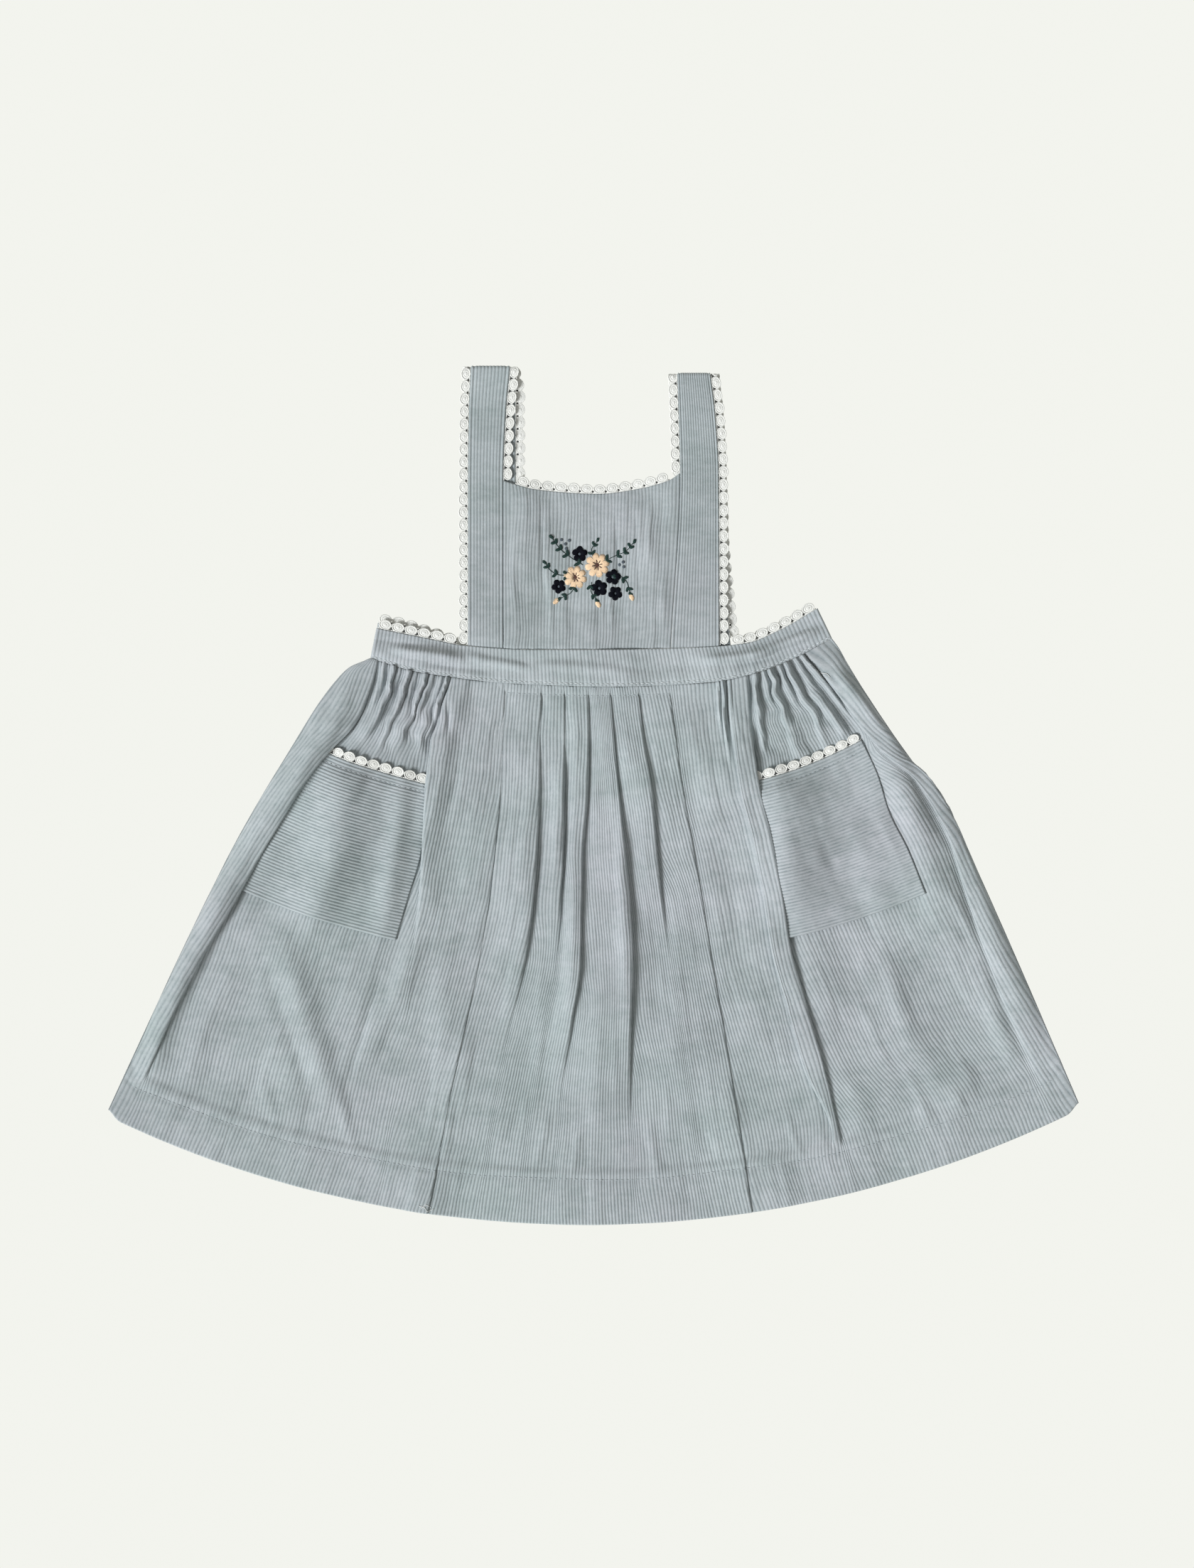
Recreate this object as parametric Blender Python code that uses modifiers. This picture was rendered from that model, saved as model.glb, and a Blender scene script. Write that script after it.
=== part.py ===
"""A small child's pinafore dress in fine corduroy, laid flat on a surface with its front up.

The origin is the middle of the dress on the surface it lies on: +X to the right, +Y to the shoulders,
+Z up from the surface.  Every length below is in millimetres; new_object() turns them into metres.

The front skirt is three cuts of cloth, each a wall lofted through cross-sections from the waist seam
(down = 0) to the hem (down = 1).  A cross-section is a line of (x, height) points that doubles back on
itself at each pressed fold and waves at each gather.
"""
import math
from collections import namedtuple

import bpy

MM = 0.001

# ---- cloth ---------------------------------------------------------------------------------------
CLOTH = 1.1            # corduroy, one layer
BAND = 1.8             # waistbands, straps: two layers pressed together
BIB_CLOTH = 1.4
HEM_EXTRA = 0.5        # the turned-up hem is this much thicker
LACE = 1.0
AIR = 0.35             # between two layers that lie on each other
SEAM = 0.3             # between two pieces that are sewn edge to edge
TURN = 0.75            # radius of a pressed fold
LEAST_LEAN = 0.62      # a sharp bend's outer corner reaches out by no more than 1 / this

# ---- outline, seen from above --------------------------------------------------------------------
Across = namedtuple("Across", "x y")
WAIST_SEAM = [Across(-131.3, 80.6), Across(-101.9, 72.2), Across(-44.3, 65.5), Across(10.7, 63.8),
              Across(69.5, 66.4), Across(94.7, 71.4), Across(119.9, 81.1), Across(140.9, 92.4)]
BAND_TOP = [Across(-127.9, 98.3), Across(-92.2, 91.1), Across(-77.5, 88.2), Across(-35.5, 85.7),
            Across(10.7, 85.7), Across(69.5, 87.4), Across(90.5, 89.5), Across(111.5, 97.9),
            Across(132.5, 110.0)]
NECKLINE = [Across(-52.8, 185.4), Across(-33.4, 180.2), Across(3.6, 177.7), Across(24.6, 180.2),
            Across(43.9, 185.2), Across(51.2, 189.8)]

Side = namedtuple("Side", "down left right")
SKIRT_SIDES = [Side(0.00, -131.3, 140.9), Side(0.02, -144.0, 145.0), Side(0.05, -152.0, 149.6),
               Side(0.10, -161.9, 157.8), Side(0.25, -186.7, 184.8), Side(0.37, -205.8, 209.5),
               Side(0.50, -223.6, 226.8), Side(0.75, -255.5, 257.1), Side(1.00, -286.2, 286.6)]
HEM_CENTRE_X, HEM_CENTRE_Y, HEM_RADIUS = -4.0, 401.1, 655.0
CORNER_RISE, CORNER_REACH = 4.0, 9.0

# ---- folds of the front skirt --------------------------------------------------------------------
# Where each fold's edge runs: its x at seven levels.
# faces: +1 where the edge looks to the right, -1 to the left; depth: how far it doubles back.
# opens: the level where it stops doubling back; flat: the level where it has died away.
LEVELS = (0.0, 0.1, 0.2, 0.35, 0.5, 0.7, 1.0)
Fold = namedtuple("Fold", "faces run depth opens flat")
FOLDS = {
    # name            faces, x of the edge at each level, depth, opens, flat
    "flap_left":   Fold(+1, (-127.3, -138.0, -160.3, -186.9, -209.5, -239.7, -276.3), 9.0, 0.88, 0.905),
    "tuck_left":   Fold(-1, (-83.0, -93.3, -98.5, -101.0, -105.0, -112.0, -125.0), 6.0, 0.38, 0.56),
    "seam_left":   Fold(+1, (-52.3, -53.2, -54.9, -59.3, -66.0, -79.5, -97.8),   6.0, 2.00, 3.000),
    "pleat_1":     Fold(+1, (-30.8, -31.4, -32.1, -34.1, -39.8, -54.0, -70.0),   5.5, 0.45, 0.700),
    "pleat_2":     Fold(+1, (-17.0, -17.3, -17.4, -18.7, -21.5, -34.0, -46.0),   5.5, 0.35, 0.560),
    "pleat_3":     Fold(+1, (-3.3, -2.5, -3.5, -7.0, -7.5, -17.0, -26.0),        5.5, 0.58, 0.820),
    "pleat_4":     Fold(+1, (9.7, 12.2, 14.9, 20.0, 23.1, 21.5, 24.0),           5.5, 0.65, 0.850),
    "pleat_5":     Fold(+1, (26.2, 29.7, 34.5, 38.5, 45.0, 53.0, 64.0),          5.5, 0.35, 0.520),
    "seam_right":  Fold(+1, (44.5, 48.4, 53.0, 61.5, 69.0, 79.5, 93.7),          6.0, 2.00, 3.000),
    "flap_pocket": Fold(+1, (91.0, 93.5, 97.0, 108.0, 115.0, 131.7, 153.0),      9.0, 0.88, 0.905),
    "flap_right":  Fold(-1, (125.0, 145.5, 164.5, 202.0, 217.5, 237.5, 273.0),   5.0, 0.21, 0.905),
}
OVER_POCKET = ("flap_left", "tuck_left", "flap_pocket")
CENTRE_PLEATS = ("pleat_1", "pleat_2", "pleat_3", "pleat_4", "pleat_5")
FLAP_SHARE = 0.55      # a side flap doubles back over at most this share of its own width
LEAST_DEPTH = 1.6
DEPTH_LOSS = 0.72      # share of its depth that a pleat has lost where it opens
OPEN_SPREAD = 1.2      # an opened fold's step grows wider by this much as it dies away
PUFF = 0.5             # a pleat that is about to open stands higher by this much a layer
FLAP_RISE = 0.75       # height of the right flap's step, as a part of a full fold's

# Rows of the loft, closest together at the waist, at the pockets' ends and at the hem stitching.
ROWS = (0.0, 0.02, 0.05, 0.09, 0.13, 0.17, 0.22, 0.30, 0.40, 0.52, 0.62, 0.75, 0.89, 0.91, 1.0)
HEM_AT = 0.905

# Gathers: how many stand between two folds, and their height at the waist.
GATHERS_LEFT, GATHERS_INNER_RIGHT, GATHERS_OUTER_RIGHT = 9, 3, 7
GATHER_HEIGHT = 1.35
GATHERS_END = 0.17
INNER_GATHERS_FROM = 78.0      # x at the waist where the right side's gathers begin

# Soft ridges that the cloth lies in, each from one end to the other.
Ridge = namedtuple("Ridge", "x0 y0 x1 y1 height width")
RIDGES = [Ridge(-192.0, -78.0, -172.0, -190.0, 1.6, 13.0),
          Ridge(-112.0, -98.0, -141.0, -160.0, 1.4, 11.0),
          Ridge(-225.0, -120.0, -236.0, -170.0, 0.9, 9.0),
          Ridge(205.0, -92.0, 214.0, -160.0, 1.0, 12.0)]

# ---- pockets -------------------------------------------------------------------------------------
Pocket = namedtuple("Pocket", "top_inner top_outer bottom_inner bottom_outer")
POCKETS = {"left": Pocket(0.202, 0.181, 0.503, 0.485), "right": Pocket(0.199, 0.189, 0.499, 0.492)}
POCKET_HIDDEN = 4.5            # how far the left pocket runs on under its flap
POCKET_TUCKED = 4.0            # how far the right pocket runs on under its fold
EdgeRow = namedtuple("EdgeRow", "down x")
LEFT_POCKET_INNER = [EdgeRow(0.18, -97.4), EdgeRow(0.27, -99.0), EdgeRow(0.335, -101.8),
                     EdgeRow(0.42, -109.4), EdgeRow(0.51, -117.4)]
RIGHT_POCKET_OUTER = [EdgeRow(0.18, 157.0), EdgeRow(0.26, 168.0), EdgeRow(0.32, 174.0),
                      EdgeRow(0.40, 185.3), EdgeRow(0.50, 196.6)]
POCKET_COLUMNS, POCKET_ROWS = 9, 7

# ---- straps: edges of the front half, then of the back half, from the shoulder down ---------------
Strap = namedtuple("Strap", "shoulder front back")
Edges = namedtuple("Edges", "y outer inner")
STRAPS = {
    "left": Strap(252.4, [Edges(252.4, -72.0, -48.9), Edges(225.0, -73.2, -51.5),
                          Edges(185.0, -73.7, -53.1), Edges(88.0, -73.7, -53.1)],
                  [Edges(252.4, -72.0, -48.9), Edges(238.0, -69.5, -45.9),
                   Edges(180.0, -69.3, -45.6), Edges(88.0, -66.5, -43.0)]),
    "right": Strap(248.2, [Edges(248.2, 69.1, 49.8), Edges(225.0, 72.0, 50.6),
                           Edges(190.3, 74.1, 51.5), Edges(88.0, 74.6, 46.0)],
                   [Edges(248.2, 69.1, 49.8), Edges(225.0, 71.5, 51.0),
                    Edges(142.0, 75.5, 54.5), Edges(88.0, 81.3, 60.0)]),
}
STRAP_ROWS = 9                 # rows on each half
SHOULDER_LIFT = 0.7            # the strap stands a little proud where it folds over

# ---- lace ----------------------------------------------------------------------------------------
SCALLOP = 7.5
LACE_WIDTH, LACE_VALLEY = 5.6, 4.1
SCALLOP_SHAPE = ((0.0, 0.0), (0.3, 1.0), (0.7, 1.0))       # place along one scallop, share of height
SCALLOP_PLAIN = ((0.0, 0.0), (0.5, 1.0))
LACE_MARGIN = 0.8              # between the last whole scallop and the strap's turn
LACE_ROOM = LACE_WIDTH + 1.8   # kept clear beside a strap for the lace on it
LACE_STEPS = 24

# ---- colours -------------------------------------------------------------------------------------
ROUGHNESS = 0.9
SHARP_ANGLE = 50.0
CORDUROY_BLUE = (0.36, 0.42, 0.44)
LACE_WHITE = (0.80, 0.78, 0.71)


# ==== curves through the tables ===================================================================
def curve(xs, ys):
    """A smooth curve through the points that never overshoots them."""
    spans = [b - a for a, b in zip(xs, xs[1:])]
    slopes = [(b - a) / span for a, b, span in zip(ys, ys[1:], spans)]
    tangents = [slopes[0]]
    for left, right in zip(slopes, slopes[1:]):
        tangents.append(0.0 if left * right <= 0 else 2 * left * right / (left + right))
    tangents.append(slopes[-1])

    def value(x):
        x = min(max(x, xs[0]), xs[-1])
        i = max(k for k in range(len(spans)) if xs[k] <= x)
        t = (x - xs[i]) / spans[i]
        bend = spans[i] * t * (1 - t) * (tangents[i] * (1 - t) - tangents[i + 1] * t)
        return ys[i] + (ys[i + 1] - ys[i]) * t * t * (3 - 2 * t) + bend
    return value


def column(table, x_name, y_name):
    return curve([getattr(row, x_name) for row in table], [getattr(row, y_name) for row in table])


def fade(value, start, end):
    """0 before start, 1 after end, smooth between."""
    t = min(max((value - start) / (end - start), 0.0), 1.0)
    return t * t * (3 - 2 * t)


def mix(a, b, t):
    return a + (b - a) * t


side_left = column(SKIRT_SIDES, "down", "left")
side_right = column(SKIRT_SIDES, "down", "right")
waist_y = column(WAIST_SEAM, "x", "y")
band_top_y = column(BAND_TOP, "x", "y")
neckline_y = column(NECKLINE, "x", "y")
fold_edge = {name: curve(LEVELS, fold.run) for name, fold in FOLDS.items()}
left_strap_inner = column(STRAPS["left"].front[::-1], "y", "inner")
right_strap_inner = column(STRAPS["right"].front[::-1], "y", "inner")
left_pocket_inner = column(LEFT_POCKET_INNER, "down", "x")
right_pocket_outer = column(RIGHT_POCKET_OUTER, "down", "x")


def hem_y(x):
    """The hem is an arc about a point far above the dress, with its corners rounded off."""
    arc = HEM_CENTRE_Y - math.sqrt(HEM_RADIUS ** 2 - (x - HEM_CENTRE_X) ** 2)
    from_corner = min(x - side_left(1.0), side_right(1.0) - x)
    return arc + CORNER_RISE * (1 - fade(from_corner, 0.0, CORNER_REACH)) ** 2


def skirt_y(x, down):
    """y of a point of the skirt, which fans out from the waist seam to the hem."""
    across = (x - side_left(down)) / (side_right(down) - side_left(down))
    at_waist = waist_y(mix(WAIST_SEAM[0].x, WAIST_SEAM[-1].x, across)) - SEAM
    at_hem = hem_y(mix(side_left(1.0), side_right(1.0), across))
    return mix(at_waist, at_hem, down)


# ==== walls =======================================================================================
def new_object(name, points, faces, colour):
    """A named mesh object in metres, with its own material."""
    mesh = bpy.data.meshes.new(name)
    mesh.from_pydata([tuple(c * MM for c in point) for point in points], [], faces)
    mesh.shade_smooth()
    mesh.set_sharp_from_angle(angle=math.radians(SHARP_ANGLE))
    obj = bpy.data.objects.new(name, mesh)
    obj.data.materials.append(material(name, colour))
    PARTS.objects.link(obj)
    return obj


def add_sheet(name, grid, thickness, colour=CORDUROY_BLUE, rise=0.0):
    """Cloth with a plain surface: rows of (x, y, z), each row to the left of the one before it.

    rise 0 puts half of the thickness on each side of the surface, rise 1 all of it above.
    """
    width = len(grid[0])
    faces = []
    for row in range(len(grid) - 1):
        for i in range(row * width, (row + 1) * width - 1):
            faces.append((i, i + 1, i + width + 1, i + width))
    obj = new_object(name, [point for row in grid for point in row], faces, colour)
    solidify = obj.modifiers.new("thickness", "SOLIDIFY")
    solidify.thickness = thickness * MM
    solidify.offset = rise
    solidify.use_even_offset = True
    return obj


def add_loft(name, sections, colour=CORDUROY_BLUE):
    """Folded cloth: a wall lofted through closed rings, each the upper side and the lower side back."""
    count = len(sections[0])
    end = (len(sections) - 1) * count
    faces = []
    for row in range(0, end, count):
        for i in range(count):
            here, after = row + i, row + (i + 1) % count
            faces.append((here, here + count, after + count, after))
    for i in range(count // 2 - 1):
        upper, lower = (i, i + 1), (count - 2 - i, count - 1 - i)
        faces.append(upper + lower)
        faces.append(tuple(end + k for k in reversed(upper + lower)))
    return new_object(name, [point for ring_ in sections for point in ring_], faces, colour)


def ring(line, thickness):
    """The closed outline of a wall about a line of (x, z): its upper side, then its lower side back."""
    upper, lower = [], []
    for i, (x, z) in enumerate(line):
        before, after = line[max(i - 1, 0)], line[min(i + 1, len(line) - 1)]
        out = unit(after[0] - x, after[1] - z) if i < len(line) - 1 else unit(x - before[0], z - before[1])
        into = unit(x - before[0], z - before[1]) if i else out
        normal = unit(-into[1] - out[1], into[0] + out[0])
        lean = max(LEAST_LEAN, normal[0] * -into[1] + normal[1] * into[0])
        reach = thickness / 2 / lean
        upper.append((x + normal[0] * reach, z + normal[1] * reach))
        lower.append((x - normal[0] * reach, z - normal[1] * reach))
    return upper + lower[::-1]


def unit(x, z):
    length = math.hypot(x, z) or 1.0
    return x / length, z / length


# ==== heights =====================================================================================
def cloth_at(down):
    """Thickness of the skirt's wall, which the hem makes thicker."""
    return CLOTH + HEM_EXTRA * fade(down, HEM_AT - 0.01, HEM_AT)


def ground(down):
    """Height of the middle of the front skirt where it lies straight on the back."""
    return cloth_at(down) + AIR + cloth_at(down) / 2


def pocket_lift(down):
    """How much higher a fold lies where it laps over a pocket."""
    return (CLOTH + AIR) * fade(down, 0.09, 0.13) * (1 - fade(down, 0.52, 0.62))


def ridge_height(x, down):
    y = skirt_y(x, down)
    height = 0.0
    for r in RIDGES:
        length = math.hypot(r.x1 - r.x0, r.y1 - r.y0)
        along = ((x - r.x0) * (r.x1 - r.x0) + (y - r.y0) * (r.y1 - r.y0)) / length ** 2
        aside = ((x - r.x0) * (r.y1 - r.y0) - (y - r.y0) * (r.x1 - r.x0)) / length
        ends = fade(along, -0.15, 0.25) * (1 - fade(along, 0.75, 1.15))
        height += r.height * ends * math.exp(-(aside / r.width) ** 2)
    return height


# ==== folds =======================================================================================
def fold_depth(name, down):
    """How far the cloth doubles back under the fold's edge; 0 where the fold has opened out."""
    fold = FOLDS[name]
    if down >= fold.opens:
        return 0.0
    depth = fold.depth
    if fold.opens < HEM_AT - 0.1:
        depth *= 1 - DEPTH_LOSS * down / fold.opens
    if name == "flap_left":
        depth = min(depth, FLAP_SHARE * (fold_edge[name](down) - side_left(down)))
    if name == "flap_right":
        depth = min(depth, FLAP_SHARE * (side_right(down) - fold_edge[name](down)))
    return max(depth, LEAST_DEPTH)


def closed_profile(depth):
    """(x, height) of a fold that doubles back; height 0 is the ground, 1 the layer between, 2 the top."""
    return ((-depth - 1.2, 2.0), (-TURN, 2.0), (0.0, 1.5), (-TURN, 1.0), (TURN - depth, 1.0),
            (-depth, 0.5), (TURN - depth, 0.0), (0.8, 0.0))


OPEN_PROFILE = ((-2.4, 2.0), (-0.9, 2.0), (-0.25, 1.64), (-0.05, 1.16), (0.05, 0.72), (0.2, 0.28),
                (0.7, 0.0), (1.4, 0.0))


def fold_points(name, down):
    """The eight points of a fold, from its raised side to the ground beside it, left to right."""
    fold = FOLDS[name]
    depth, low = fold_depth(name, down), ground(down)
    step = cloth_at(down) + AIR
    lift = pocket_lift(down) if name in OVER_POCKET else 0.0
    if depth:
        if fold.opens < HEM_AT - 0.1:
            step += PUFF * (1 - depth / fold.depth)
        heights = ((0.0, 0.0), (1.0, step + lift), (2.0, 2 * step + lift))
        rise_at = curve([h[0] for h in heights], [h[1] for h in heights])
        points = [(x, low + rise_at(level)) for x, level in closed_profile(depth)]
    else:
        rise = 1 - fade(down, fold.opens, fold.flat)
        if name == "flap_right":
            rise = FLAP_RISE * (1 - fade(down, 0.86, fold.flat))
        spread = 1 + OPEN_SPREAD * (1 - rise)
        height = (step + lift / 2) * rise
        points = [(x * spread, low + height * level) for x, level in OPEN_PROFILE]
    placed = [(fold_edge[name](down) + fold.faces * x, z) for x, z in points]
    return placed if fold.faces > 0 else placed[::-1]


def gather_line(start, end, count, down):
    """Points along a stretch of gathers: up and down, spread out lower down where they die away."""
    height = 2 * GATHER_HEIGHT * (1 - fade(down, 0.03, GATHERS_END))
    line = []
    for i in range(2 * count):
        x = mix(start, end, (i + 0.5) / (2 * count))
        line.append((x, ground(down) + (height if i % 2 else 0.0) + ridge_height(x, down)))
    return line


def between(a, b, share, down, fullness=0.5):
    x = mix(a[0], b[0], share)
    return (x, mix(a[1], b[1], fullness) + ridge_height(x, down))


# ==== front skirt =================================================================================
def left_line(down):
    side = (side_left(down), ground(down))
    flap = fold_points("flap_left", down)
    tuck = fold_points("tuck_left", down)
    seam = fold_points("seam_left", down)[:5]
    line = [side, between(side, flap[0], 0.45, down, 0.7)] + flap
    line += gather_line(flap[-1][0], tuck[0][0], GATHERS_LEFT, down) + tuck
    rest = (mix(tuck[-1][0], seam[0][0], 0.45), ground(down) + 0.25)
    return line + [rest] + seam


def centre_line(down):
    start_x = fold_edge["seam_left"](down) - fold_depth("seam_left", down) + TURN
    line = [(start_x, ground(down)), (fold_edge["seam_left"](down) + 0.8, ground(down))]
    for name in CENTRE_PLEATS:
        points = fold_points(name, down)
        line += [between(line[-1], points[0], 0.5, down, 0.55)] + points
    seam = fold_points("seam_right", down)[:5]
    return line + [between(line[-1], seam[0], 0.5, down, 0.4)] + seam


def right_line(down):
    start_x = fold_edge["seam_right"](down) - fold_depth("seam_right", down) + TURN
    low = ground(down)
    line = [(start_x, low), (fold_edge["seam_right"](down) + 0.8, low)]
    flap = fold_points("flap_pocket", down)
    share = (INNER_GATHERS_FROM - FOLDS["seam_right"].run[0]) / (
        FOLDS["flap_pocket"].run[0] - FOLDS["seam_right"].run[0])
    gathers_from = mix(line[-1][0], flap[0][0], share)
    line += gather_line(gathers_from, flap[0][0], GATHERS_INNER_RIGHT, down) + flap
    side_flap = fold_points("flap_right", down)
    line += gather_line(flap[-1][0], side_flap[0][0], GATHERS_OUTER_RIGHT, down) + side_flap
    side = (side_right(down), low)
    return line + [between(side_flap[-1], side, 0.55, down, 0.3), side]


def add_front(name, line_at):
    sections = []
    for down in ROWS:
        outline = ring(line_at(down), cloth_at(down))
        sections.append([(x, skirt_y(x, down), z) for x, z in outline])
    return add_loft(name, sections)


# ==== back skirt and waistbands ===================================================================
BACK_INSET = 0.8               # the back lies this far inside the front's outline
BAND_COLUMNS = 31
BACK_ROWS = (0.0, 0.02, 0.05, 0.12, 0.37, 0.65, 1.0)


def add_back():
    grid = []
    for down in BACK_ROWS:
        left, right = side_left(down) + BACK_INSET, side_right(down) - BACK_INSET
        xs = [mix(right, left, i / (BAND_COLUMNS - 1)) for i in range(BAND_COLUMNS)]
        grid.append([(x, skirt_y(x, down) + BACK_INSET * down, 0.0) for x in xs])
    return add_sheet("skirt_back", grid, CLOTH, rise=1.0)


Crease = namedtuple("Crease", "x0 up0 x1 up1 depth")
CREASES = [Crease(-128.0, 0.52, -82.0, 0.35, 0.7), Crease(72.0, 0.40, 130.0, 0.62, 0.7)]
CREASE_WIDTH = 0.16
BAND_UPS = (0.0, 0.2, 0.4, 0.5, 0.7, 1.0)
BAND_AT_SEAM, BAND_AT_TOP = 4.1, 3.4       # height of the front waistband's middle
BACK_PEEK = 3.4                # how far the back waistband shows above the front at the left end
PEEK_FROM, PEEK_TO = 0.05, 0.20


def band_height(x, up):
    """Height of the front waistband's middle, creased along towards both ends."""
    height = mix(BAND_AT_SEAM, BAND_AT_TOP, fade(up, 0.0, 1.0))
    for crease in CREASES:
        share = (x - crease.x0) / (crease.x1 - crease.x0)
        off = (up - mix(crease.up0, crease.up1, share)) / CREASE_WIDTH
        ends = fade(share, -0.1, 0.2) * (1 - fade(share, 0.8, 1.1))
        height -= crease.depth * ends * math.exp(-off ** 2)
    return height


def band_top(x, peek):
    share = (x - BAND_TOP[0].x) / (BAND_TOP[-1].x - BAND_TOP[0].x)
    return band_top_y(x) + peek * (1 - fade(share, PEEK_FROM, PEEK_TO))


def band_grid(height, peek, inset):
    grid = []
    for up in BAND_UPS:
        row = []
        for i in range(BAND_COLUMNS):
            share = i / (BAND_COLUMNS - 1)
            low_x = mix(WAIST_SEAM[0].x + inset, WAIST_SEAM[-1].x - inset, share)
            top_x = mix(BAND_TOP[0].x + inset, BAND_TOP[-1].x - inset, share)
            x = mix(low_x, top_x, up)
            row.append((x, mix(waist_y(low_x), band_top(top_x, peek), up), height(x, up)))
        grid.append(row)
    return grid


def add_waistbands():
    add_sheet("waistband_front", band_grid(band_height, 0.0, 0.0), BAND)
    add_sheet("waistband_back", band_grid(lambda x, up: 0.0, BACK_PEEK, BACK_INSET), BAND, rise=1.0)


# ==== straps and bib ==============================================================================
STRAP_LOW = BAND / 2 + 0.03                # height of the back half's middle
STRAP_HIGH = BAND + AIR + BAND / 2         # height of the front half's middle
StrapRow = namedtuple("StrapRow", "y outer inner z")


def foot_y(edges, reach=0.0):
    """Where a strap, or its lace that stands out by reach, meets the waistband's top edge."""
    away = math.copysign(reach, edges.outer)
    return max(band_top_y(x) for x in (edges.inner, edges.outer, edges.outer + away)) + SEAM


def strap_path(side):
    """Rows from the front waistband over the shoulder to the back waistband."""
    strap = STRAPS[side]
    front = [column(strap.front[::-1], "y", name) for name in ("outer", "inner")]
    back = [column(strap.back[::-1], "y", name) for name in ("outer", "inner")]
    radius = (STRAP_HIGH + SHOULDER_LIFT - STRAP_LOW) / 2
    crown = strap.shoulder - radius
    path = []
    for i in range(STRAP_ROWS):
        y = mix(foot_y(strap.front[-1]), crown, i / (STRAP_ROWS - 1))
        lift = SHOULDER_LIFT * fade(y, crown - 14, crown)
        path.append(StrapRow(y, front[0](y), front[1](y), STRAP_HIGH + lift))
    for angle in (45, 90, 135):
        turn = math.radians(angle)
        path.append(StrapRow(crown + radius * math.sin(turn), front[0](crown), front[1](crown),
                             STRAP_LOW + radius * (1 + math.cos(turn))))
    for i in range(STRAP_ROWS):
        y = mix(crown, foot_y(strap.back[-1]), i / (STRAP_ROWS - 1))
        path.append(StrapRow(y, back[0](y), back[1](y), STRAP_LOW))
    return path


def add_strap(side):
    grid = []
    for row in strap_path(side):
        left, right = sorted((row.outer, row.inner))
        grid.append([(left, row.y, row.z), (right, row.y, row.z)])
    return add_sheet("strap_" + side, grid, BAND)


BIB_COLUMNS, BIB_ROWS = 11, 8
BIB_SAG = 1.9                  # the bib sinks this far between the straps, to rest on the surface
SAG_FROM, SAG_TO = 10.0, 30.0  # distance from the straps where it starts to sink, and is down


def bib_height(x, y):
    from_strap = min(x - left_strap_inner(y), right_strap_inner(y) - x)
    from_band = y - band_top_y(x)
    return STRAP_HIGH - BIB_SAG * fade(from_strap, SAG_FROM, SAG_TO) * fade(from_band, 0.0, SAG_TO)


def bib_grid():
    grid = []
    for j in range(BIB_ROWS):
        up = j / (BIB_ROWS - 1)
        row = []
        for i in range(BIB_COLUMNS):
            across = i / (BIB_COLUMNS - 1)
            low_x = mix(STRAPS["left"].front[-1].inner, STRAPS["right"].front[-1].inner, across)
            top_x = mix(NECKLINE[0].x, NECKLINE[-1].x, across)
            y = mix(band_top_y(low_x) + SEAM, neckline_y(top_x), up)
            x = mix(left_strap_inner(y) + SEAM, right_strap_inner(y) - SEAM, across)
            row.append((x, y, bib_height(x, y)))
        grid.append(row)
    return grid


# ==== pockets =====================================================================================
def pocket_span(side, down):
    if side == "left":
        return left_pocket_inner(down), fold_edge["flap_left"](down) - POCKET_HIDDEN
    return fold_edge["flap_pocket"](down) - POCKET_TUCKED, right_pocket_outer(down)


def pocket_point(side, share, level):
    """A point of a pocket: share runs from its inner to its outer edge, level from top to bottom."""
    pocket = POCKETS[side]
    down = mix(mix(pocket.top_inner, pocket.top_outer, share),
               mix(pocket.bottom_inner, pocket.bottom_outer, share), level)
    inner, outer = pocket_span(side, down)
    x = mix(inner, outer, share)
    return x, skirt_y(x, down), ground(down) + CLOTH + AIR


def pocket_grid(side):
    """Rows from the top down, each from right to left."""
    shares = [i / (POCKET_COLUMNS - 1) for i in range(POCKET_COLUMNS)]
    if side == "right":
        shares.reverse()
    return [[pocket_point(side, share, j / (POCKET_ROWS - 1)) for share in shares]
            for j in range(POCKET_ROWS)]


# ==== lace ========================================================================================
def scallops(length, shape):
    """Places along a strip and its width there, one scallop after another."""
    count = max(1, round(length / SCALLOP))
    marks = [((k + place) * length / count, mix(LACE_VALLEY, LACE_WIDTH, share))
             for k in range(count) for place, share in shape]
    return marks + [(length, LACE_VALLEY)]


def measured(points):
    """Distances along a line of points."""
    reach = [0.0]
    for a, b in zip(points, points[1:]):
        reach.append(reach[-1] + math.dist(a, b))
    return reach


def at_distance(points, reach, distance):
    distance = min(max(distance, 0.0), reach[-1])
    i = max(k for k in range(len(points) - 1) if reach[k] <= distance)
    t = (distance - reach[i]) / (reach[i + 1] - reach[i])
    return [mix(a, b, t) for a, b in zip(points[i], points[i + 1])]


def add_edge_lace(name, edge, shape=SCALLOP_SHAPE, trim_start=0.0, trim_end=0.0):
    """Lace sewn to an edge that runs from left to right, standing up from it in the flat."""
    reach = measured(edge)
    near_row, far_row = [], []
    for distance, width in scallops(reach[-1] - trim_start - trim_end, shape):
        distance += trim_start
        x, y, z = at_distance(edge, reach, distance)
        a, b = at_distance(edge, reach, distance - 1), at_distance(edge, reach, distance + 1)
        along = unit(b[0] - a[0], b[1] - a[1])
        near_row.append((x - along[1] * SEAM, y + along[0] * SEAM, z))
        far_row.append((x - along[1] * (SEAM + width), y + along[0] * (SEAM + width), z))
    return add_sheet(name, [near_row, far_row], LACE, LACE_WHITE)


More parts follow.
